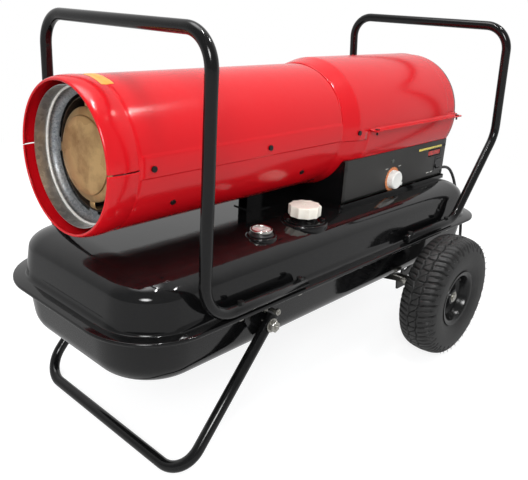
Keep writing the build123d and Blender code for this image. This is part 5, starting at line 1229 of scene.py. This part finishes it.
lower_shell = surface("lower_casing", along_barrel(
    [*front_line, *drum_line,
     *((x, SHELL_RADIUS + (x - 28) / 42 * 9.3) for x in np.linspace(30, 70, 6)),
     (99, 125.8), (100.5, 126.4), (102, 127.2), *((x, 127.3) for x in np.linspace(104, 448, 30))],
    np.concatenate([
        np.linspace(-184, -180 - nose_gap, 4), np.linspace(-180 - nose_gap, -180 + nose_gap, 3)[1:],
        np.linspace(-180 + nose_gap, -nose_gap, 131)[1:], np.linspace(-nose_gap, nose_gap, 3)[1:],
        np.linspace(nose_gap, 4, 4)[1:],
    ]),
), keep=lower_faces)
thicken(lower_shell, 0.9)
fit(lower_shell, body_red, "body_red", "chassis", "lower_shell")

orange_film = finish(
    "orange_film", moulded,
    {"Color": srgb(238, 160, 52), "Roughness": 0.3, "Grain scale": 500.0, "Grain depth": 0.1,
     "Mottle": 0.12},
)
film_x = np.linspace(-444, -423, 15)
film_line = np.stack([film_x, 0.3 + np.interp(film_x, *front_line.T)], -1)
nose_film = surface("nose_film", along_barrel(film_line, np.linspace(68, 104, 40)))
thicken(nose_film, 0.2)
fit(nose_film, orange_film, "dial_orange", "chassis")


def hood_stations():
    """(x, radius) of the hood: a front edge bent down on the shell, a cone, the drum, a
    rounded crease, and a narrower band whose rear edge is turned in."""
    cone = [(x, 117.9 + (x - HOOD_FRONT_X) / (CONE_REAR_X - HOOD_FRONT_X) * 9.4)
            for x in np.linspace(HOOD_FRONT_X + 3, CONE_REAR_X - 4, 7)]
    return np.array([
        (HOOD_FRONT_X, 116.7), (HOOD_FRONT_X + 0.4, 117.5), (HOOD_FRONT_X + 1.4, 118.0), *cone,
        (CONE_REAR_X - 1.5, 127.0), (CONE_REAR_X + 2, 127.25),
        *((x, HOOD_RADIUS) for x in np.linspace(CONE_REAR_X + 6, HOOD_CREASE_X - 5, 34)),
        (HOOD_CREASE_X - 2, 127.5), (HOOD_CREASE_X - 0.5, 127.2), (HOOD_CREASE_X + 1.4, 125.2),
        (HOOD_CREASE_X + 2.8, 123.4), (HOOD_CREASE_X + 4.2, 123.3), (HOOD_CREASE_X + 7, 123.5),
        *((x, BAND_RADIUS) for x in np.linspace(424, HOOD_REAR_X - 1, 6)),
        (HOOD_REAR_X, BAND_RADIUS - 0.4), (HOOD_REAR_X + 0.1, BAND_RADIUS - 1.4),
    ])


def hood_faces(centres):
    """Faces of the hood: below the lip only the skirt in front of it stays."""
    low = centres[:, 2] < BARREL_Z
    return ~(low & (centres[:, 0] > LIP_FRONT_X - 5))


hood = surface(
    "rear_hood_sheet", along_barrel(hood_stations(), np.linspace(-7, 187, 195)), keep=hood_faces,
)
thicken(hood, BODY_SHEET)
fit(hood, body_red, "body_red", "chassis", "rear_hood")


def lip_grid(side, level, sign):
    """Lip along the casing: from the drum the sheet turns out through a small round and
    runs level; its outer corners are rounded in plan. sign is +1 for the hood's lip, which
    turns down into the level, and -1 for the lower shell's, which turns up."""
    x = np.concatenate([
        LIP_FRONT_X + 7 * (1 - np.cos(np.linspace(0, np.pi / 2, 8))),
        np.linspace(LIP_FRONT_X + 9, LIP_REAR_X - 9, 30),
        LIP_REAR_X - 7 * (1 - np.cos(np.linspace(np.pi / 2, 0, 8))),
    ])[:, None]
    corner = np.minimum(x - LIP_FRONT_X, LIP_REAR_X - x)
    cut = 7 - np.sqrt(np.clip(49 - (7 - np.minimum(corner, 7)) ** 2, 0, 49))
    turn = np.linspace(0, np.pi / 2, 7)
    round_y = HOOD_RADIUS + 4 * (1 - np.cos(turn)) - 0.2
    round_z = 4 * (1 - np.sin(turn))
    share = np.linspace(0, 1, 8)[None, 1:]
    outer = round_y[-1] + (LIP_REACH - cut - round_y[-1]) * share
    y = np.concatenate([np.broadcast_to(round_y, (len(x), 7)), outer], axis=1)
    z = np.concatenate([round_z, np.zeros(7)])
    return np.stack(np.broadcast_arrays(x, side * y, BARREL_Z + level + sign * z), -1)


for lip_side, lip_name in ((-1, "left"), (1, "right")):
    hood_lip = surface(f"{lip_name}_hood_lip", lip_grid(lip_side, 1.2, 1), flip=lip_side > 0)
    thicken(hood_lip, 1.0)
    fit(hood_lip, body_red, "body_red", "chassis")
    shell_lip = surface(f"{lip_name}_shell_lip", lip_grid(lip_side, -0.2, -1), flip=lip_side > 0)
    thicken(shell_lip, 0.9)
    fit(shell_lip, body_red, "body_red", "chassis")

black_screw = finish(
    "black_screw", spray_paint,
    {"Color": (0.01, 0.01, 0.01, 1), "Roughness": 0.34, "Peel scale": 900.0,
     "Peel depth": 0.1, "Dust": 0.1},
    metallic=0.4,
)
dress(black_screw, "casing_screws")

# ---- Hot-air outlet ---------------------------------------------------------------------
# A galvanised liner with a rolled bead, a dished front ring, the steel fire tube behind it
# and a domed deflector on four straps, tinted brown and straw by heat.
galvanised = finish(
    "galvanised", rolled_metal,
    {"Light": srgb(214, 214, 212), "Dark": srgb(176, 177, 178), "Stain": srgb(132, 128, 120),
     "Roughness": 0.28, "Crystal scale": 150.0, "Stain amount": 0.3, "Streaks": 0.06},
    metallic=0.9,
)
heat_bronze = finish(
    "heat_bronze", rolled_metal,
    {"Light": srgb(214, 176, 122), "Dark": srgb(198, 158, 106), "Stain": srgb(128, 86, 58),
     "Roughness": 0.3, "Crystal scale": 25.0, "Stain amount": 0.75, "Streaks": 0.04},
    metallic=0.85,
)
scorched = finish(
    "scorched_steel", rolled_metal,
    {"Light": srgb(96, 78, 62), "Dark": srgb(70, 58, 50), "Stain": srgb(40, 34, 30),
     "Roughness": 0.5, "Crystal scale": 60.0, "Stain amount": 0.7, "Streaks": 0.1},
    metallic=0.7,
)
dish_steel = finish(
    "dish_steel", rolled_metal,
    {"Light": srgb(178, 182, 186), "Dark": srgb(128, 134, 140), "Stain": srgb(140, 126, 108),
     "Roughness": 0.36, "Crystal scale": 420.0, "Stain amount": 0.35, "Streaks": 0.1},
    metallic=0.9,
)
dress(galvanised, "outlet_liner", "chamber_supports", "burner_head", "motor_bracket")
dress(dish_steel, "outlet_dish")
dress(scorched, "combustion_chamber")
outlet_angles = np.linspace(0, 360, 145)[:-1]
bead_turn = np.linspace(0, 2 * np.pi, 13)[:-1]
bead_line = np.stack([-449 + 2.2 * np.cos(bead_turn), 102.2 + 2.2 * np.sin(bead_turn)], -1)
bead = close_up(surface(
    "outlet_bead", along_barrel(bead_line, outlet_angles), wrap_rows=True, wrap_columns=True,
))
# The rolled bead's steel is painted nearly white: a painted highlight along the bead, with a few
# real stains on it.
bead_painted_highlight = finish(
    "painted_highlight_steel", rolled_metal,
    {"Light": srgb(246, 245, 240), "Dark": srgb(228, 226, 220), "Stain": srgb(196, 186, 168),
     "Roughness": 0.42, "Crystal scale": 300.0, "Stain amount": 0.15, "Streaks": 0.04},
    metallic=0.4,
)
fit(bead, bead_painted_highlight, "galvanised", "chassis")

DOME_LINE = [
    (-454.6, 0), (-454.5, 8), (-454.2, 20), (-453.4, 32), (-452, 43), (-450.4, 52), (-449.2, 57.2),
    (-448.4, 58.8), (-447.4, 59.4), (-446.2, 59.2), (-445.4, 58.8), (-445, 59.6), (-444, 62),
    (-442.4, 66), (-441, 69.2), (-440.2, 70.4), (-439.2, 71), (-437.6, 71), (-432, 70.6),
]
deflector = surface("deflector_dome", along_barrel(DOME_LINE, outlet_angles), wrap_columns=True)
thicken(deflector, 1.0)
fit(deflector, heat_bronze, "heat_bronze", "chassis", "flame_deflector")
for strap_number in range(4):
    strap_angles = np.linspace(-5, 5, 7) + 2 + 90 * strap_number
    strap = surface(f"deflector_strap_{strap_number}", along_barrel([
        (-436.4, 68), (-438.4, 71.6), (-438.6, 76), (-437.4, 81), (-434, 84), (-428, 84.3),
        (-416, 84.3),
    ], strap_angles))
    thicken(strap, 1.2)
    fit(strap, heat_bronze, "heat_bronze", "chassis")
brass = finish(
    "brass", rolled_metal,
    {"Light": srgb(214, 178, 92), "Dark": srgb(190, 154, 76), "Stain": srgb(120, 92, 50),
     "Roughness": 0.25, "Crystal scale": 400.0, "Stain amount": 0.3, "Streaks": 0.05},
    metallic=1.0,
)
dress(brass, "burner_nozzle")

# ---- Fan, motor, pump and guard ---------------------------------------------------------
# An aluminium fan, a cast motor and the air pump on one shaft, behind a welded wire guard
# that is painted black.
aluminium = finish(
    "aluminium", rolled_metal,
    {"Light": srgb(208, 208, 206), "Dark": srgb(190, 190, 190), "Stain": srgb(140, 138, 132),
     "Roughness": 0.32, "Crystal scale": 300.0, "Stain amount": 0.25, "Streaks": 0.15},
    metallic=1.0,
)
cast_grey = finish(
    "cast_grey", moulded,
    {"Color": srgb(132, 134, 136), "Roughness": 0.45, "Grain scale": 500.0,
     "Grain depth": 0.5, "Mottle": 0.15},
    metallic=0.6,
)
dress(aluminium, "fan")
dress(cast_grey, "motor", "pump")
dress(rim_black, "fan_guard")

# ---- Control box ------------------------------------------------------------------------
# Folded black steel box under the casing on a shallow tray. Its left side is the dark grey
# control panel: a thermostat knob over an orange dial, a lamp, a display and a switch.
PANEL_Y = -116.2
PANEL_LOW_X, PANEL_HIGH_X, PANEL_LOW_Z, PANEL_HIGH_Z = 49, 447, 338.6, 424
DIAL_X, DIAL_Z = 226, 361.5
DISPLAY_Z, DISPLAY_LIT_X = 397, 371
panel_grey = finish(
    "panel_grey", spray_paint,
    {"Color": srgb(34, 33, 31), "Roughness": 0.38, "Peel scale": 700.0, "Peel depth": 0.2,
     "Dust": 0.05},
)
dress(panel_grey, "side_cover")


def panel_sheet():
    """Face of the panel with its cut-outs behind the dial, lamp, display and switch: a grid
    of (x, z) lines that fall on the cut-outs' edges, and a flange folded in along its top."""
    x = np.unique(np.r_[np.linspace(PANEL_LOW_X, PANEL_HIGH_X, 41), 219, 233, 372, 421, 408, 433])
    z = np.unique(np.r_[np.linspace(PANEL_LOW_Z, PANEL_HIGH_Z - 1.5, 15), 354, 369, 356, 382, 391,
                        403])
    turn = np.linspace(0, np.pi / 2, 5)[1:]
    y = np.r_[np.full(len(z), 0.0), 1.5 * (1 - np.cos(turn)), 3, 6]
    z = np.r_[z, PANEL_HIGH_Z - 1.5 * (1 - np.sin(turn)), PANEL_HIGH_Z, PANEL_HIGH_Z]
    return np.stack(np.broadcast_arrays(x[None, :], PANEL_Y + y[:, None], z[:, None]), -1)


def around_cut_outs(centres):
    """Faces outside the panel's cut-outs."""
    x, z = centres[:, 0], centres[:, 2]
    dial = (x > 219) & (x < 233) & (z > 354) & (z < 369)
    display = (x > 372) & (x < 421) & (z > 391) & (z < 403)
    switch = (x > 408) & (x < 433) & (z > 356) & (z < 382)
    return ~(dial | display | switch)


panel = surface("panel_sheet", panel_sheet(), keep=around_cut_outs, flip=True)
thicken(panel, 1.2)
fit(panel, panel_grey, "panel_grey", "chassis", "control_panel")
dress(tank_black, "base_tray", "barrel_saddle")


def trimmed_housing(top):
    """Joined copy of the box's folded sheet, whose corners behind the panel are cut down to
    the height of the panel's flange."""
    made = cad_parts["base_housing"].data.copy()
    made.materials.clear()
    places = np.empty(3 * len(made.vertices))
    made.vertices.foreach_get("co", places)
    places = places.reshape(-1, 3)
    corner = (places[:, 1] < -0.1) & (places[:, 2] > top * MM)
    places[corner, 2] = top * MM
    made.vertices.foreach_set("co", places.ravel())
    joined = bmesh.new()
    joined.from_mesh(made)
    bmesh.ops.remove_doubles(joined, verts=joined.verts, dist=0.000004)
    bmesh.ops.dissolve_degenerate(joined, dist=0.00001, edges=joined.edges)
    joined.to_mesh(made)
    joined.free()
    piece = bpy.data.objects.new("housing_sheet", made)
    bpy.context.collection.objects.link(piece)
    return piece


housing = trimmed_housing(PANEL_HIGH_Z - 1.8)
sharpen(housing, 30)
fit(housing, tank_black, "tank_black", "chassis", "base_housing")
dress(black_plastic, "switch_frame", "rocker_switch", "thermostat_body", "cord_gland")
board_green = finish(
    "board_green", moulded,
    {"Color": (0.01, 0.07, 0.02, 1), "Roughness": 0.35, "Grain scale": 800.0,
     "Grain depth": 0.2, "Mottle": 0.1},
)
dress(board_green, "control_board")
copper = finish(
    "copper", rolled_metal,
    {"Light": srgb(214, 138, 104), "Dark": srgb(190, 116, 84), "Stain": srgb(110, 66, 50),
     "Roughness": 0.28, "Crystal scale": 300.0, "Stain amount": 0.35, "Streaks": 0.08},
    metallic=1.0,
)
dress(copper, "fuel_pipe")
white_plastic = finish(
    "white_plastic", moulded,
    {"Color": srgb(244, 242, 236), "Roughness": 0.3, "Grain scale": 1400.0,
     "Grain depth": 0.08, "Mottle": 0.02},
)


def panel_dial_material():
    """Orange dial plate, a little mottled, with plain dark tick marks round its edge."""
    material = bpy.data.materials.new("dial_orange")
    material.use_nodes = True
    tree = material.node_tree
    place = add_node(tree, "ShaderNodeTexCoord").outputs["Object"]
    local = add_node(tree, "ShaderNodeMapping", {
        "Vector": place, "Location": (-DIAL_X * MM, 0, -DIAL_Z * MM),
    })
    axes = add_node(tree, "ShaderNodeSeparateXYZ", {0: local.outputs[0]})
    flat = add_node(tree, "ShaderNodeCombineXYZ", {0: axes.outputs["X"], 2: axes.outputs["Z"]})
    reach = add_node(tree, "ShaderNodeVectorMath", {0: flat.outputs[0]}, operation="LENGTH")
    angle = add_node(tree, "ShaderNodeMath", {
        0: axes.outputs["Z"], 1: axes.outputs["X"],
    }, operation="ARCTAN2")
    many = add_node(tree, "ShaderNodeMath", {0: angle.outputs[0], 1: 24.0}, operation="MULTIPLY")
    wave = add_node(tree, "ShaderNodeMath", {0: many.outputs[0]}, operation="COSINE")
    line = add_node(tree, "ShaderNodeMath", {0: wave.outputs[0], 1: 0.8}, operation="GREATER_THAN")
    outer = add_node(tree, "ShaderNodeMath", {
        0: reach.outputs["Value"], 1: 0.0232,
    }, operation="GREATER_THAN")
    mark = add_node(tree, "ShaderNodeMath", {
        0: line.outputs[0], 1: outer.outputs[0],
    }, operation="MULTIPLY")
    ground = add_node(tree, "ShaderNodeTexNoise", {"Vector": place, "Scale": 60.0, "Detail": 4.0})
    paint = add_node(tree, "ShaderNodeMix", {
        0: ground.outputs[0], 6: srgb(232, 150, 96), 7: srgb(216, 128, 76),
    }, data_type="RGBA")
    tone = add_node(tree, "ShaderNodeMix", {
        0: mark.outputs[0], 6: paint.outputs[2], 7: srgb(60, 36, 24),
    }, data_type="RGBA")
    shader = tree.nodes["Principled BSDF"]
    tree.links.new(tone.outputs[2], shader.inputs["Base Color"])
    shader.inputs["Roughness"].default_value = 0.4
    return material


dress(panel_dial_material(), "thermostat_dial")


def knob_grid():
    """Knob turned about an axis along -Y: its rim is fluted by a raised cosine of the angle,
    and its face is slightly hollow inside a rounded edge."""
    turn = np.linspace(0, 2 * np.pi, 289)[None, :-1]
    levels = np.array([
        (0, 1.8, 0), (18, 1.8, 0), (20, 1.8, 0.4), (20, 2.8, 1), (19.5, 12.4, 1),
        (18.8, 14.2, 0.7), (17.6, 15.2, 0.2), (16.2, 15.4, 0), (14.4, 15, 0), (11, 14.3, 0),
        (6, 14.1, 0), (0, 14.1, 0),
    ])
    reach, rise, share = (levels[:, index, None] for index in range(3))
    radius = reach - 0.55 * share * (0.5 + 0.5 * np.cos(24 * turn))
    return np.stack(np.broadcast_arrays(
        DIAL_X + radius * np.cos(turn), -115 - rise, DIAL_Z + radius * np.sin(turn)
    ), -1)


def rounded_polygon(points, radius, steps=5):
    """Outline with every corner of a convex polygon rounded by a quadratic curve."""
    points = [np.array(point, float) for point in points]
    made = []
    for index, corner in enumerate(points):
        before, after = points[index - 1], points[(index + 1) % len(points)]
        first = corner + (before - corner) / np.linalg.norm(before - corner) * radius
        last = corner + (after - corner) / np.linalg.norm(after - corner) * radius
        share = np.linspace(0, 1, steps)[:, None]
        made += list((1 - share) ** 2 * first + 2 * share * (1 - share) * corner + share**2 * last)
    return np.array(made)


def pointer_outline():
    """Tapered pointer of the knob, turned below level as the photograph shows."""
    turn = math.radians(-24)
    corners = np.array([(0, -5), (35, -3.4), (35, 3.4), (0, 5)])
    x = DIAL_X + corners[:, 0] * math.cos(turn) - corners[:, 1] * math.sin(turn)
    z = DIAL_Z + corners[:, 0] * math.sin(turn) + corners[:, 1] * math.cos(turn)
    return rounded_polygon(np.stack([x, z], -1), 1.4)


knob = close_up(surface("white_knob", knob_grid(), wrap_columns=True))
sharpen(knob, 50)
fit(knob, white_plastic, "knob_white", "knob", "thermostat_knob")
pointer = close_up(surface("knob_pointer", bar_grid(pointer_outline(), -1, 116.8, 123.8, 0.7),
                           wrap_columns=True))
fit(pointer, white_plastic, "knob_white", "knob")

lamp_lens = bpy.data.materials.new("lamp_lens")
lamp_lens.use_nodes = True
for label, value in (
    ("Base Color", (0.035, 0.045, 0.035, 1)), ("Roughness", 0.12), ("Coat Weight", 0.6),
    ("Transmission Weight", 0.25), ("IOR", 1.5),
):
    lamp_lens.node_tree.nodes["Principled BSDF"].inputs[label].default_value = value
dress(lamp_lens, "indicator_lamp")


def display_material():
    """Dark window with a row of lit red bars, two to a digit, and a dim red ground."""
    material = bpy.data.materials.new("display_red")
    material.use_nodes = True
    tree = material.node_tree
    place = add_node(tree, "ShaderNodeTexCoord").outputs["Object"]
    axes = add_node(tree, "ShaderNodeSeparateXYZ", {0: place})
    bars = add_node(tree, "ShaderNodeMath", {
        0: add_node(tree, "ShaderNodeMath", {
            0: axes.outputs["X"], 1: 2 * math.pi / 0.0058,
        }, operation="MULTIPLY").outputs[0],
    }, operation="SINE")
    upright = add_node(tree, "ShaderNodeMapRange", {
        "Value": bars.outputs[0], "From Min": 0.1, "From Max": 0.5,
    })
    from_middle = add_node(tree, "ShaderNodeMath", {
        0: axes.outputs["Z"], 1: -DISPLAY_Z * MM,
    }, operation="ADD")
    high = add_node(tree, "ShaderNodeMath", {0: from_middle.outputs[0]}, operation="ABSOLUTE")
    inside = add_node(tree, "ShaderNodeMath", {
        0: high.outputs[0], 1: 0.0048,
    }, operation="LESS_THAN")
    right_part = add_node(tree, "ShaderNodeMath", {
        0: axes.outputs["X"], 1: DISPLAY_LIT_X * MM,
    }, operation="GREATER_THAN")
    lit_zone = add_node(tree, "ShaderNodeMath", {
        0: inside.outputs[0], 1: right_part.outputs[0],
    }, operation="MULTIPLY")
    lit = add_node(tree, "ShaderNodeMath", {
        0: lit_zone.outputs[0], 1: upright.outputs[0],
    }, operation="MULTIPLY")
    tone = add_node(tree, "ShaderNodeMix", {
        0: lit.outputs[0], 6: srgb(52, 8, 9), 7: srgb(226, 48, 40),
    }, data_type="RGBA")
    shader = tree.nodes["Principled BSDF"]
    tree.links.new(tone.outputs[2], shader.inputs["Base Color"])
    tree.links.new(tone.outputs[2], shader.inputs["Emission Color"])
    for label, value in (("Roughness", 0.15), ("Emission Strength", 0.3)):
        shader.inputs[label].default_value = value
    return material


dress(display_material(), "display_window")


def plate_outline(low_x, low_z, high_x, high_z, corner):
    """Rounded rectangle on the panel."""
    return rounded_polygon(
        [(low_x, low_z), (high_x, low_z), (high_x, high_z), (low_x, high_z)], corner
    )


yellow_print = finish(
    "yellow_print", moulded,
    {"Color": srgb(232, 214, 96), "Roughness": 0.4, "Grain scale": 900.0, "Grain depth": 0.1,
     "Mottle": 0.12},
)
pale_print = finish(
    "pale_print", moulded,
    {"Color": srgb(196, 196, 190), "Roughness": 0.45, "Grain scale": 900.0,
     "Grain depth": 0.1, "Mottle": 0.3},
)
for print_name, print_box, print_material in (
    ("yellow_strip", (326, 407.4, 427, 412.2), yellow_print),
    ("switch_mark_one", (372, 351, 384, 353.4), pale_print),
    ("switch_mark_two", (389, 351, 399, 353.4), pale_print),
    ("dial_mark", (196, 386, 206, 387.6), pale_print),
    ("dial_mark_high", (246, 386, 256, 387.6), pale_print),
):
    low_x, low_z, high_x, high_z = print_box
    strip = close_up(surface(print_name, bar_grid(
        plate_outline(low_x, low_z, high_x, high_z, 0.7), -1, 116.2, 116.55, 0.1,
    ), wrap_columns=True))
    fit(strip, print_material, "dial_card" if "mark" in print_name else "cap_ivory", "chassis")

# ---- Power cord, its tie and plug -------------------------------------------------------
# Black rubber mains lead of 7 mm: it leaves the box's rear wall, hangs down behind the
# tank's flange and is wound into a tied coil on the floor behind the near wheel.
CORD_RADIUS, COIL_Z, COIL_RADIUS, TURN_PITCH = 3.5, 4.5, 44.5, 7.5
COIL_HALF_TURNS, LAYER_RISE, CORD_TAIL, POINTS_PER_HALF = 4, 7.6, 62, 12
hanging_route = [
    (469, -100, 347), (505, -100, 347), (529, -107, 321.5), (530, -121, 284),
    (526, -146, 232), (521, -157, 172), (521, -158, 110), (530, -154, 50),
    (556, -150.6, COIL_Z), (602, -150.5, COIL_Z),
]


def coil_points():
    """The coil's turns: half circles whose radius is smaller by half a pitch each time, one
    that climbs a layer, then half circles that widen again, and a straight tail."""
    inner = [COIL_RADIUS - TURN_PITCH / 2 * turn for turn in range(COIL_HALF_TURNS)]
    climb = inner[-1] - TURN_PITCH / 2
    place, heading, points = np.array(hanging_route[-1], float), 1.0, []
    share = np.linspace(0, 1, POINTS_PER_HALF + 1)[1:]
    for radius in [*inner, climb, *reversed(inner)]:
        rise = LAYER_RISE if radius == climb else 0
        turn = np.pi * share
        points.append(np.stack([
            place[0] + heading * radius * np.sin(turn),
            place[1] + heading * radius * (1 - np.cos(turn)),
            place[2] + rise * share,
        ], -1))
        place = points[-1][-1]
        heading = -heading
    points.append([place + (heading * CORD_TAIL * part, 0, 0) for part in (0.4, 1.0)])
    return np.concatenate(points)


cord_rubber = finish(
    "cord_rubber", moulded,
    {"Color": (0.012, 0.012, 0.0125, 1), "Roughness": 0.42, "Grain scale": 900.0,
     "Grain depth": 0.2, "Mottle": 0.05},
)
cord_line = np.concatenate([hanging_route, coil_points()]) * MM
cord_curve = bpy.data.curves.new("mains_lead", "CURVE")
cord_curve.dimensions = "3D"
spline = cord_curve.splines.new("NURBS")
spline.points.add(len(cord_line) - 1)
spline.points.foreach_set("co", np.c_[cord_line, np.ones(len(cord_line))].ravel())
spline.order_u = 3
spline.use_endpoint_u = True
spline.resolution_u = 8
cord_curve.bevel_depth = CORD_RADIUS * MM
cord_curve.bevel_resolution = 5
cord_curve.use_fill_caps = True
mains_lead = bpy.data.objects.new("mains_lead", cord_curve)
bpy.context.collection.objects.link(mains_lead)
fit(mains_lead, cord_rubber, "cord_rubber", "chassis", "power_cord", "cord_coil")
dress(cord_rubber, "plug")
dress(seal_rubber, "cord_tie")
